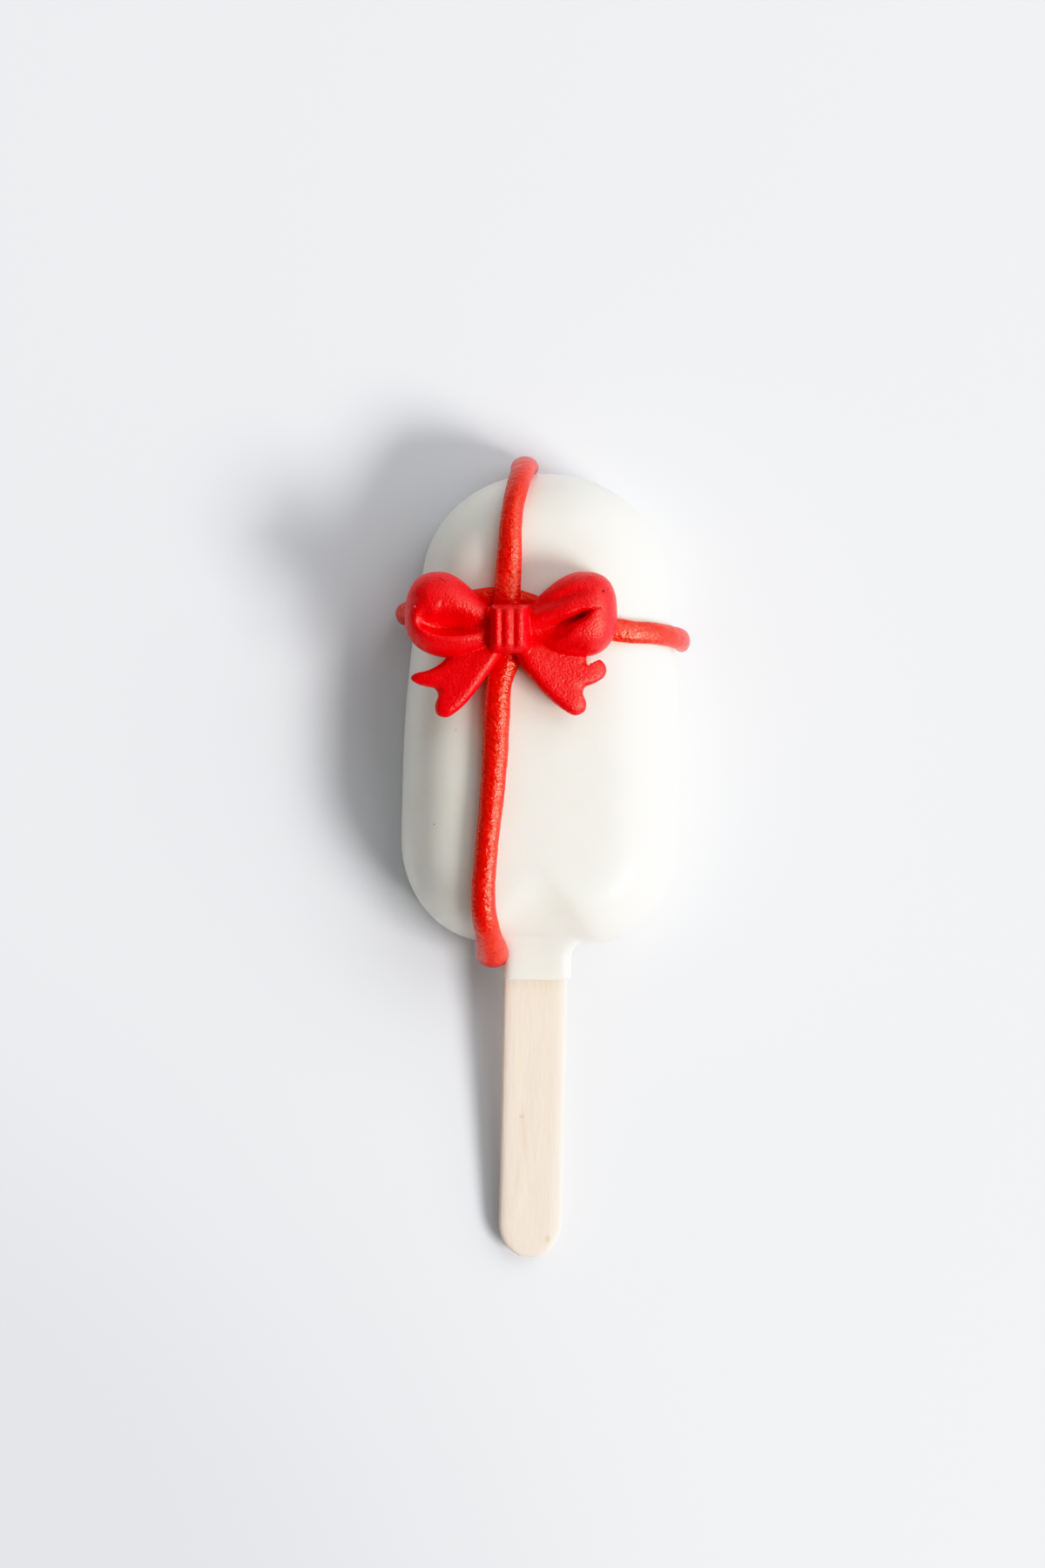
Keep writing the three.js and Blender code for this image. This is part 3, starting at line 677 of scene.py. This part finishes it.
def birch_wood(colours, sizes):
    material, tree, shader, where = new_material("Birch wood", IOR=1.4)
    stretched = add_node(tree, "ShaderNodeMapping", Vector=where, Scale=(1, 0.035, 1)).outputs[0]
    fibres = noise_node(tree, stretched, 2600, detail=4, roughness=0.6)
    bands = noise_node(tree, stretched, 500)
    tone = math_node(tree, "ADD", math_node(tree, "MULTIPLY", fibres, 0.45),
                     math_node(tree, "MULTIPLY", bands, 0.55))
    colour = mottled(tree, tone, 0.35, 0.65, colours.birch, 0.95, 1.02)
    red, green, blue = colours.birch
    patches = remap(tree, noise_node(tree, stretched, 320, detail=2), 0.5, 0.75, 0, 0.6)
    warmer = mix_colour(tree, patches, colour, (red, green * 1.02, blue * 0.9, 1))
    marked = add_marks(tree, where, warmer, STICK_MARKS, sizes)
    dress(tree, shader, marked, remap(tree, fibres, 0.3, 0.7, 0.62, 0.8), fibres, 0.00004)
    return material


# Pieces

def settings_of(context):
    return context.scene.cakesicle_sizes, context.scene.cakesicle_colours


class CAKESICLE_OT_stage(bpy.types.Operator):
    """Lay the pale floor, set the soft studio light and the camera"""

    bl_idname = "cakesicle.stage"
    bl_label = "Stage, light and camera"

    def execute(self, context):
        sizes, colours = settings_of(context)
        add_floor(colours)
        add_lights()
        add_camera(sizes)
        return {"FINISHED"}


FLOOR_CORNERS = ((-3, -3, 0), (3, -3, 0), (3, 3, 0), (-3, 3, 0))
# Painted shade: the floor's colour is faintly darkened in a soft patch at its lower left, where
# less light falls
PAINTED_FLOOR_SHADE = {"centre": (-0.13, -0.17, 0), "radius": 0.18, "dim": 0.86}


def add_floor(colours):
    floor = add_object("Floor", new_mesh("Floor", FLOOR_CORNERS, [(0, 1, 2, 3)]))
    material, tree, shader, where = new_material("Pale floor", Roughness=0.85)
    clouds = noise_node(tree, where, 4, detail=2)
    colour = mottled(tree, clouds, 0.3, 0.7, colours.floor, 0.99, 1)
    # Painted shade: the floor's colour darkens towards its lower left
    corner = place_group(tree, spot_group(), Vector=where, Centre=PAINTED_FLOOR_SHADE["centre"],
                         Radius=PAINTED_FLOOR_SHADE["radius"])
    dimmed = mix_colour(tree, corner.outputs["Mask"], colour, shade(colours.floor, PAINTED_FLOOR_SHADE["dim"]))
    feed(tree, shader, {"Base Color": dimmed})
    floor.data.materials.append(material)


# Lamps: name, bearing clockwise from the X axis, height over the floor, width and rise as seen
# from the piece, all in degrees, the light they bring in watts per square metre, and colour
LAMP_DISTANCE = 4
LAMPS = (
    ("Window light", 30, 39, 28, 16, 2.76, (1, 0.985, 0.965)),
    ("Fill light", -38, 42, 55, 50, 1.3, (0.98, 0.985, 1)),
    ("Low glow", 5, 14, 60, 22, 0.35, (1, 0.985, 0.965)),
)
# Brightness of the studio by the sine of the height, and how it changes from the far side, past
# the slab's round end, to the near one
SKY_RISE = ((0, 0.2), (0.45, 0.34), (0.67, 0.52), (0.85, 0.17), (1, 0.03))
SKY = {"toward": (0.55, 0.835, 0), "far": (0.9, 0.975, 1, 1), "near": (1, 0.985, 0.93, 1),
       "far_strength": 1.85, "near_strength": 0.6}


def add_lights():
    """Soft lamps from the right, and a pale sky, brightest half way up beyond the round end."""
    for row in LAMPS:
        add_lamp(*row)
    world = bpy.data.worlds.new("Studio sky")
    world.use_nodes = True
    tree = world.node_tree
    background = tree.nodes["Background"]
    direction = tree.nodes.new("ShaderNodeTexCoord").outputs["Generated"]
    up = add_node(tree, "ShaderNodeSeparateXYZ", Vector=direction).outputs["Z"]
    band = add_node(tree, "ShaderNodeValToRGB", Fac=up)
    while len(band.color_ramp.elements) < len(SKY_RISE):
        band.color_ramp.elements.new(1)
    for stop, (height, value) in zip(band.color_ramp.elements, SKY_RISE):
        stop.position, stop.color = height, (value, value, value, 1)
    along = vector_node(tree, "DOT_PRODUCT", direction, SKY["toward"])["Value"]
    share = remap(tree, along, -1, 1)
    strength = remap(tree, along, -1, 1, SKY["near_strength"], SKY["far_strength"])
    level = math_node(tree, "MULTIPLY", band.outputs["Color"], strength)
    colour = mix_colour(tree, share, SKY["near"], SKY["far"])
    feed(tree, background, {"Color": colour, "Strength": level})
    bpy.context.scene.world = world


def add_lamp(name, bearing, height, width, rise, irradiance, colour):
    lamp = bpy.data.lights.new(name, "AREA")
    lamp.shape = "ELLIPSE"
    lamp.size = 2 * LAMP_DISTANCE * math.tan(math.radians(width) / 2)
    lamp.size_y = 2 * LAMP_DISTANCE * math.tan(math.radians(rise) / 2)
    lamp.energy = irradiance * math.pi * LAMP_DISTANCE ** 2
    lamp.color = colour
    turn, up = math.radians(bearing), math.radians(height)
    toward = Vector((math.cos(turn) * math.cos(up), -math.sin(turn) * math.cos(up), math.sin(up)))
    holder = add_object(name, lamp)
    holder.location = toward * LAMP_DISTANCE
    holder.rotation_euler = toward.to_track_quat("Z", "Y").to_euler()


CAMERA = {"height": 0.5, "aim": (-2.91, 24.88), "roll": 1.12, "frame_height": 0.2466,
          "focus_height": 0.008}


def add_camera(sizes):
    """Straight down over the piece, with the slab's long axis leaning a degree to the right."""
    camera = bpy.data.cameras.new("Camera")
    reach = CAMERA["height"] - CAMERA["focus_height"]
    camera.sensor_width = 36
    camera.lens = camera.sensor_width * reach / CAMERA["frame_height"]
    holder = add_object("Camera", camera)
    aim = to_frame([(*CAMERA["aim"], 0)], sizes)[0]
    holder.location = (aim[0], aim[1], CAMERA["height"])
    holder.rotation_euler = Euler((0, 0, math.radians(CAMERA["roll"])))
    bpy.context.scene.camera = holder
    set_tone(bpy.context.scene.view_settings)


# Camera response: linear light in (as a share of WHITE) and out, with a soft toe and shoulder
WHITE = 1.4
RESPONSE = (
    (0, 0), (0.015, 0), (0.03, 0.004), (0.05, 0.017), (0.08, 0.05), (0.12, 0.1), (0.2, 0.2),
    (0.5, 0.515), (0.8, 0.803), (1, 0.918), (1.2, 0.975), (1.4, 0.996),
)


def set_tone(view):
    view.view_transform = "Standard"
    view.use_curve_mapping = True
    mapping = view.curve_mapping
    mapping.white_level = (WHITE, WHITE, WHITE)
    curve = mapping.curves[3]
    curve.points[0].location = RESPONSE[0]
    curve.points[-1].location = (1, RESPONSE[-1][1])
    for light, out in RESPONSE[1:-1]:
        curve.points.new(light / WHITE, out)
    mapping.update()


class CAKESICLE_OT_coating(bpy.types.Operator):
    """Mould the white chocolate coating with its collar round the stick"""

    bl_idname = "cakesicle.coating"
    bl_label = "White chocolate coating"

    def execute(self, context):
        sizes, colours = settings_of(context)
        rings = [to_frame(ring, sizes) for ring in SlabForm(sizes).slab_rings()]
        slab = rings_to_mesh("Slab", rings)
        collar = rings_to_mesh("Collar", collar_rings(sizes))
        guide = add_object("Slab guide", slab)
        coating = add_object("coating", join_meshes("Coating", [slab.copy(), collar]))
        remesh(coating, COATING_GRAIN)
        blend_collar(coating, guide, sizes)
        bpy.data.objects.remove(guide)
        roughen_coating(coating)
        finish_piece(coating, white_chocolate(colours, sizes), "shell")
        return {"FINISHED"}


COATING_GRAIN = 0.38 * MM
# The collar widens towards the slab from a share of its length on, and runs on into the slab
COLLAR = {
    "flare": 1.6, "flare_from": 0.45, "flare_power": 2.7, "flare_up": 0.8, "flare_past": 1,
    "past": 1.2, "thicken": 0.11, "edge": 0.18, "edge_reach": 0.3, "power": 6, "in_shell": 6,
    "round": 120, "rings": 30,
}
# Where slab and collar blend: how far round the collar and how high up
SEAM = {"reach": 1.5, "fade": 3, "lowest": 1.5, "start": 3.2, "rise": 2, "rounds": 24}
STICK_MIDDLE_Z = 6.6


def on_stick(points, sizes):
    """To the shared frame from the stick's own, in millimetres with y = 0 at the collar's tip."""
    x, y, z = points.T
    y, z = turned(y, z, sizes.stick_dip)
    return to_frame(np.column_stack((x, y - collar_length(sizes), z + STICK_MIDDLE_Z)), sizes)


def collar_length(sizes):
    return (SHELL_HIGH.y - sizes.shell_length - SHELL_LOW.y) / MM


def collar_rings(sizes):
    c, s = circle(COLLAR["round"])
    power = COLLAR["power"]
    reach = (np.abs(c) ** power + np.abs(s) ** power) ** (-1 / power)
    half = sizes.collar_width / MM / 2
    thick = sizes.collar_thickness / MM / 2
    length = collar_length(sizes)
    start = COLLAR["flare_from"]
    rings = []
    for along in np.linspace(0, length + COLLAR["past"], COLLAR["rings"]):
        share = max(0, (along / (length + COLLAR["flare_past"]) - start) / (1 - start))
        flare = COLLAR["flare"] * share ** COLLAR["flare_power"]
        edge = 1 - min(1, along / COLLAR["edge_reach"])
        tip = COLLAR["edge"] * (1 - math.sqrt(1 - edge ** 2))
        wide = half + flare - tip
        high = thick + flare * COLLAR["flare_up"] + COLLAR["thicken"] * along - tip
        rings.append(np.column_stack((wide * c * reach, np.full_like(c, along), high * s * reach)))
    rings.append(rings[-1] + (0, COLLAR["in_shell"], 0))
    return [on_stick(ring, sizes)[::-1] for ring in rings]


def blend_collar(coating, guide, sizes):
    """Round the joint of slab and collar, and lay the rest back on the exact slab."""
    local = (points_of(coating.data) - to_frame([(0, 0, 0)], sizes)[0]) / MM
    away = np.maximum(np.abs(local[:, 0]) - sizes.collar_width / MM / 2, 0)
    away = np.hypot(away, np.maximum(local[:, 1], 0))
    near = 1 - smooth_step((away - SEAM["reach"]) / SEAM["fade"])
    near *= (local[:, 2] > SEAM["lowest"])
    weighted(coating, "SHRINKWRAP", 1 - near, steps=20, target=guide)
    seam = near * smooth_step((local[:, 1] + SEAM["start"]) / SEAM["rise"])
    relax(coating, seam, times=SEAM["rounds"])


# Waves of set chocolate, and scrapes across the back
WAVES = {"size": 9, "height": 0.04}
SCRAPES = {"size": 1.6, "height": 0.08, "drawn": (0.12, 1, 1), "mean": 0.03, "most": 0.2,
           "below": 0.4, "onset": 1.4}


def roughen_coating(coating):
    """Faint waves of set chocolate, and a scraped back inside a thin rim."""
    mesh = coating.data
    points, normals = points_of(mesh), normals_of(mesh)
    waves = unevenness(points, WAVES["size"] * MM) * WAVES["height"] * MM
    facing = np.clip(-normals[:, 2] * SCRAPES["onset"] - (SCRAPES["onset"] - 1), 0, 1)
    back = facing * (points[:, 2] < SCRAPES["below"] * MM)
    points += normals * (waves * (1 - back))[:, None]
    points[:, 2] = np.maximum(points[:, 2], 0)
    scrapes = unevenness(points * SCRAPES["drawn"], SCRAPES["size"] * MM, detail=3, offset=4)
    scrapes = np.clip(scrapes * SCRAPES["height"] + SCRAPES["mean"], 0, SCRAPES["most"])
    points[:, 2] += back * scrapes * MM
    set_points(mesh, points)


class CAKESICLE_OT_stick(bpy.types.Operator):
    """Cut the flat wooden stick"""

    bl_idname = "cakesicle.stick"
    bl_label = "Wooden stick"

    def execute(self, context):
        sizes, colours = settings_of(context)
        rings = [on_stick(ring, sizes) for ring in stick_rings(sizes)]
        stick = add_object("stick_wood", rings_to_mesh("Stick", rings))
        finish_piece(stick, birch_wood(colours, sizes), "stick")
        return {"FINISHED"}


# The stick sits a little left of the collar's middle, and its rounded end reaches further on the
# right; its fibres stand out by a share of its thickness
STICK = {"showing": 45, "aside": 0.3, "end_reach": (5.6, 6.4), "end_power": 2.1,
         "section_powers": (0.35, 0.6), "edge": 0.45, "edge_thinning": 0.85, "edge_power": 2.5,
         "fibres": 0.012, "fibre_scale": 5, "fibre_stretch": 0.12, "fibre_seed": 3.1,
         "least": 0.02, "round": 220, "shown_rings": 330, "shown_past": 3, "hidden_rings": 40,
         "hidden_past": 3.2, "ring_power": 1.25}


def stick_rings(sizes):
    """Sections along the stick, from its free end to the end inside the cake."""
    half = sizes.stick_width / MM / 2
    thick = sizes.stick_thickness / MM / 2
    length = sizes.stick_length / MM
    c, s = circle(STICK["round"])
    cs, ss = (np.sign(part) * np.abs(part) ** power
              for part, power in zip((c, s), STICK["section_powers"]))
    shown = np.linspace(0, 1, STICK["shown_rings"]) ** STICK["ring_power"]
    shown = shown * (STICK["showing"] + STICK["shown_past"])
    hidden = np.linspace(1, 0, STICK["hidden_rings"]) ** STICK["ring_power"]
    hidden = length - hidden * (length - STICK["showing"] - STICK["hidden_past"])
    rings = []
    for along in np.concatenate((shown, hidden)):
        from_end = min(along, length - along)
        past = (1 - min(1, from_end / reach) for reach in STICK["end_reach"])
        left, right = (half * rounded(share, STICK["end_power"]) for share in past)
        edge = 1 - min(1, from_end / STICK["edge"])
        height = thick * (1 - STICK["edge_thinning"] * edge ** STICK["edge_power"])
        x = np.maximum(np.where(c < 0, left, right), STICK["least"]) * cs
        fibres = noise_along(x * STICK["fibre_scale"], along * STICK["fibre_stretch"],
                             STICK["fibre_seed"])
        z = height * ss * (1 + fibres * STICK["fibres"])
        y = np.full_like(x, along - STICK["showing"])
        rings.append(np.column_stack((x - STICK["aside"], y, z)))
    return [ring[::-1] for ring in rings]


# How finely the strings are drawn, how late they slide aside on their way down the wall, and over
# how many rings their directions and their middle line are evened out
STRING = {"round": 60, "wall_steps": 24, "wall_power": 1.3, "face_steps": 400,
          "even_normals": 7, "even_line": 4, "least": 0.02}
# Their unevenness: shares of their width and thickness, then sizes and heights
UNEVEN = {"width": 0.03, "width_size": 5, "thick": 0.04, "thick_size": 6, "bump_size": 2.6,
          "bumps": 0.05, "wrinkle_size": 0.7, "wrinkles": 0.03, "drawn": (0.35, 1.5, 0.4),
          "calm": 0.75}


class CAKESICLE_OT_strings(bpy.types.Operator):
    """Roll the two red paste strings and lay them over the slab"""

    bl_idname = "cakesicle.strings"
    bl_label = "Paste strings"

    def execute(self, context):
        sizes, colours = settings_of(context)
        form = SlabForm(sizes)
        paste = red_paste("Rolled red paste", colours.string_red, (0.95, 0.3, 0.45),
                          (0.0005, 0.4, (0.85, 1, 0.35)), 0.00036, sizes)
        long_string = make_string("string_lengthwise", form, LONG_ROUTE, LONG_ENDS,
                                  sizes.long_string_scale, LONG_RINGS, CROSSING["rise"], sizes)
        cross_string = make_string("string_across", form, CROSS_ROUTE, CROSS_ENDS,
                                   sizes.cross_string_scale, CROSS_RINGS, 0, sizes)
        finish_piece(long_string, paste, "string_long")
        finish_piece(cross_string, paste, "string_cross")
        return {"FINISHED"}


def wall_points(form, spot, slide, low):
    """From the rim down the wall, sliding along the outline."""
    x, y = spot
    on_end = y < STICK_END["corner"] / 2 or y > SPINE[1]
    steps = np.linspace(0, 1, STRING["wall_steps"])
    move = slide * steps ** STRING["wall_power"]
    px = x + move if on_end else np.full_like(move, x)
    py = np.full_like(move, y) if on_end else y + move
    spine_y, _, share = form.place(px, py)
    z = mix(form.wall_top, low, steps)
    return np.column_stack((px / share, spine_y + (py - spine_y) / share, z))


def string_line(form, route, ends, count):
    """Line of contact up one wall, over the face and down the other, with the string's sizes."""
    shares = 0.5 - 0.5 * np.cos(np.linspace(0, math.pi, STRING["face_steps"])[1:-1])
    plan = spline(route, shares)
    face = np.column_stack((plan[:, :2], form.height(plan[:, 0], plan[:, 1]), plan[:, 2:]))
    walls = []
    for spot, end in zip((route[0], route[-1]), ends):
        wall = wall_points(form, spot[:2], end["slide"], end["low"])
        walls.append(np.column_stack((wall, np.tile(spot[2:], (len(wall), 1)))))
    return spaced(np.vstack((walls[0][::-1], face, walls[1])), count)


def crossing_hump(line, rise):
    """Where the strings cross, under the bow, the upper one rises."""
    away = np.clip(np.abs(line[:, 1] - CROSSING["y"]) / CROSSING["reach"], 0, 1)
    return rise * (0.5 + 0.5 * np.cos(math.pi * away))


def smoothed(values, reach):
    """Running average over so many rows to either side."""
    kernel = np.hanning(2 * reach + 1)
    kernel /= kernel.sum()
    padded = np.pad(values, ((reach, reach), (0, 0)), mode="edge")
    return np.column_stack([np.convolve(column, kernel, "valid") for column in padded.T])


def make_string(name, form, route, ends, scale, count, rise, sizes):
    line = string_line(form, route, ends, count)
    widths, thicknesses, line = line[:, 3] * scale, line[:, 4], line[:, :3]
    normals = smoothed(form.normal(line[:, 0], line[:, 1]), STRING["even_normals"])
    tangents = unit(np.gradient(line, axis=0))
    normals = unit(normals - tangents * np.sum(normals * tangents, axis=1, keepdims=True))
    across = np.cross(normals, tangents)
    length = np.linalg.norm(np.diff(line, axis=0), axis=1).sum()
    along = np.linspace(0, length, count)
    from_end = np.minimum(along, length - along)
    swell = 1 - smooth_step((from_end - END_REACH[0]) / (END_REACH[1] - END_REACH[0]))
    first = along < length / 2
    width = mix(widths, np.where(first, ends[0]["width"], ends[1]["width"]) * scale, swell)
    thick = mix(thicknesses, np.where(first, ends[0]["thick"], ends[1]["thick"]), swell)
    width = width * (1 + UNEVEN["width"] * noise_along(along / UNEVEN["width_size"], 0.3, 0.5))
    thick = thick * (1 + UNEVEN["thick"] * noise_along(along / UNEVEN["thick_size"], 7.3, 0.5))
    rounding = np.sqrt(1 - (1 - np.clip(from_end / END_ROUNDING, STRING["least"], 1)) ** 2)
    lift = thick / 2 - PRESSED_IN + crossing_hump(line, rise)
    centre = smoothed(line + normals * lift[:, None], STRING["even_line"])
    wide = across * (width / 2 * rounding)[:, None]
    high = normals * (thick / 2 * rounding)[:, None]
    c, s = circle(STRING["round"])
    rings = centre[:, None] + wide[:, None] * c[:, None] + high[:, None] * s[:, None]
    mesh = rings_to_mesh(name, to_frame(rings.reshape(-1, 3), sizes).reshape(rings.shape))
    points, outward = points_of(mesh), normals_of(mesh)
    wrinkles = unevenness(points * UNEVEN["drawn"], UNEVEN["wrinkle_size"] * MM, offset=5)
    bumps = unevenness(points, UNEVEN["bump_size"] * MM, offset=1)
    relief = bumps * UNEVEN["bumps"] + wrinkles * UNEVEN["wrinkles"]
    share = 1 - UNEVEN["calm"] * swell
    relief *= np.append(np.repeat(share, len(c)), (share[0], share[-1]))
    set_points(mesh, points + outward * relief[:, None] * MM)
    return add_object(name, mesh)


# Unevenness of the bow's paste: size, height and shift of its pattern
BOW_RELIEF = ((1.4, 0.018, 0), (0.35, 0.012, 3))


class CAKESICLE_OT_bow(bpy.types.Operator):
    """Mould the red bow"""

    bl_idname = "cakesicle.bow"
    bl_label = "Moulded bow"

    def execute(self, context):
        sizes, colours = settings_of(context)
        parts = [loop_mesh(LEFT_LOOP, LEFT_FOLDS), loop_mesh(RIGHT_LOOP, RIGHT_FOLDS),
                 tail_mesh(LEFT_TAIL), tail_mesh(RIGHT_TAIL), knot_mesh()]
        mesh = join_meshes("Bow", parts)
        set_points(mesh, to_frame(place_bow(points_of(mesh)), sizes))
        bow = add_object("bow_moulded", mesh)
        remesh(bow, sizes.bow_grain)
        relax(bow, np.ones(len(bow.data.vertices)), times=4)
        points, normals = points_of(bow.data), normals_of(bow.data)
        bumps = sum(unevenness(points, size * MM, offset=shift) * height
                    for size, height, shift in BOW_RELIEF)
        set_points(bow.data, points + normals * bumps[:, None] * MM)
        paste = red_paste("Moulded red paste", colours.bow_red, (0.68, 0.37, 0.53),
                          (0.00035, 0.2, (1, 1, 1)), 0.00016, sizes, BOW_MARKS)
        finish_piece(bow, paste, "bow")
        return {"FINISHED"}


def place_bow(points):
    """From the bow's own frame to the slab's, in millimetres."""
    x, y, z = points.T
    return np.column_stack((*turned(x, y, BOW_TURN), z)) + BOW_PLACE


def loop_edge(edge, sign, end, share):
    """One edge of a loop: it swells from the knot to its belly, then rounds to the outer end."""
    swell = np.sin(math.pi / 2 * np.minimum(1, share / edge["at"])) ** LOOP["swell_power"]
    reach = mix(edge["root"], edge["belly"], swell) * sign
    past = np.maximum(0, share - edge["at"]) / (1 - edge["at"])
    return end + (reach - end) * rounded(past, edge["power"])


def fold_lines(folds):
    """Folds as dense lines with their directions."""
    lines = []
    for fold in folds:
        line = spline(fold, np.linspace(0, 1, FOLD_POINTS))
        lines.append((line, unit(np.gradient(line[:, :2], axis=0))))
    return lines


def fold_depth(x, y, lines):
    """Depth of the folds at points; each side of a fold has its own width."""
    depth = np.zeros_like(x)
    for line, along in lines:
        near = np.argmin(np.hypot(x[:, None] - line[:, 0], y[:, None] - line[:, 1]), axis=1)
        dx, dy = x - line[near, 0], y - line[near, 1]
        away = np.hypot(dx, dy)
        side = along[near, 0] * dy - along[near, 1] * dx
        above = side / np.maximum(away, TINY) * np.sign(line[-1, 0] - line[0, 0])
        width = mix(line[near, 4], line[near, 3], 0.5 + 0.5 * np.clip(above, -1, 1))
        depth += line[near, 2] * np.exp(-((away / width) ** 2))
    return depth


def pillow(name, shares, low, high, back, height_of, point_of):
    """Closed pillow lofted from sections: flat underneath, height_of on top."""
    across = np.sin(np.linspace(-0.5, 0.5, PILLOW_POINTS["over"]) * math.pi)
    return_way = np.linspace(1, -1, PILLOW_POINTS["under"])
    rings = []
    for at, start, stop in zip(shares, low, high):
        side = mix(start, stop, (across + 1) / 2)
        top = point_of(at, side, height_of(at, side, across))
        under = mix(start, stop, (return_way + 1) / 2)
        rings.append(np.vstack((top, point_of(at, under, np.full_like(under, back)))))
    return rings_to_mesh(name, rings)


def loop_mesh(loop, folds):
    shares = np.sin(math.pi / 2 * np.linspace(0, 1, LOOP["sections"])) * LOOP["last"]
    low = loop_edge(loop["down"], -1, loop["end"], shares)
    high = loop_edge(loop["up"], 1, loop["end"], shares)
    lines = fold_lines(folds)

    def x_of(at, side):
        return np.full_like(side, loop["side"] * (loop["root"] + loop["length"] * at))

    def height_of(at, side, across):
        top = LOOP["tallest"]
        before, after = max(0, top - at) / top, max(0, at - top) / (1 - top)
        rise = (1 - LOOP["root_drop"] * before ** 2) * (1 - after ** LOOP["end_power"]) ** 0.5
        fullness = np.where(across < 0, loop["down"]["fullness"], loop["up"]["fullness"])
        section = (1 - np.abs(across) ** fullness) ** (1 / LOOP["section_power"])
        puff = loop["height"] * rise * section
        folded = puff - fold_depth(x_of(at, side), side, lines)
        return PAD_EDGE + np.maximum(folded, puff * LOOP["least"])

    def point_of(at, side, height):
        return np.column_stack((x_of(at, side), side, height))

    order = slice(None, None, -1) if loop["side"] > 0 else slice(None)
    return pillow("Loop", shares[order], low[order], high[order], LOOP_BACK, height_of, point_of)


def knot_mesh():
    shares = np.sin(math.pi / 2 * np.linspace(-1, 1, KNOT["sections"]))
    half = KNOT["half_width"] * (1 - KNOT["waist"] * shares ** KNOT["waist_power"])

    def height_of(at, side, across):
        x = side + KNOT["middle"]
        wave = 0.5 + 0.5 * np.cos(2 * math.pi * (x - KNOT["ridge_at"]) / KNOT["ridge"])
        power = KNOT["power"]
        rounding = np.sqrt(1 - np.abs(across) ** power) * math.sqrt(1 - abs(at) ** power)
        return PAD_EDGE + rounding * (KNOT["height"] - PAD_EDGE - KNOT["depth"] * (1 - wave) ** 2)

    def point_of(at, side, height):
        y = np.full_like(side, KNOT["half_height"] * at)
        return np.column_stack((side + KNOT["middle"], y, height))

    return pillow("Knot", shares, -half, half, KNOT["back"], height_of, point_of)


def tail_mesh(points):
    """Ribbon end as a thin pad: rings shrink from its outline to its middle."""
    shares = np.linspace(0, 1, TAIL["samples"] * len(points), endpoint=False)
    curve = spline(points, shares, power=0.5, closed=True)
    outline = spaced(curve, TAIL["points"], closed=True)
    middle = outline.mean(axis=0)

    def ring(share, low, rise):
        plan = mix(middle, outline, share)
        top = TAIL["top"] - TAIL["fall"] * np.abs(plan[:, 0])
        return np.column_stack((plan, low + (top - low) * rise))

    rings = [ring(share, TAIL["back"], 0) for share in TAIL["under"]]
    rings.append(ring(1, PAD_EDGE, 0))
    for share in np.cos(np.linspace(0, math.pi / 2, TAIL["rings"]))[1:-1]:
        rings.append(ring(share, PAD_EDGE, math.sqrt(1 - share ** TAIL["roundness"])))
    return rings_to_mesh("Tail", rings)


# Panel and run

class CAKESICLE_PT_panel(bpy.types.Panel):
    """Sizes, colours and build steps of the cakesicle"""

    bl_idname = "CAKESICLE_PT_panel"
    bl_label = "Cakesicle"
    bl_space_type = "VIEW_3D"
    bl_region_type = "UI"
    bl_category = "Cakesicle"

    def draw(self, context):
        layout = self.layout
        for group in settings_of(context):
            column = layout.column(align=True)
            for name in group.__annotations__:
                column.prop(group, name)
        for operator in OPERATORS:
            layout.operator(operator.bl_idname)


OPERATORS = (
    CAKESICLE_OT_stage, CAKESICLE_OT_coating, CAKESICLE_OT_stick, CAKESICLE_OT_strings,
    CAKESICLE_OT_bow,
)
CLASSES = (CakesicleSizes, CakesicleColours, *OPERATORS, CAKESICLE_PT_panel)


def register():
    for item in CLASSES:
        bpy.utils.register_class(item)
    bpy.types.Scene.cakesicle_sizes = PointerProperty(type=CakesicleSizes)
    bpy.types.Scene.cakesicle_colours = PointerProperty(type=CakesicleColours)


def unregister():
    del bpy.types.Scene.cakesicle_colours
    del bpy.types.Scene.cakesicle_sizes
    for item in reversed(CLASSES):
        bpy.utils.unregister_class(item)


def main():
    register()
    bpy.ops.cakesicle.stage()
    bpy.ops.cakesicle.coating()
    bpy.ops.cakesicle.stick()
    bpy.ops.cakesicle.strings()
    bpy.ops.cakesicle.bow()


if __name__ == "__main__":
    main()
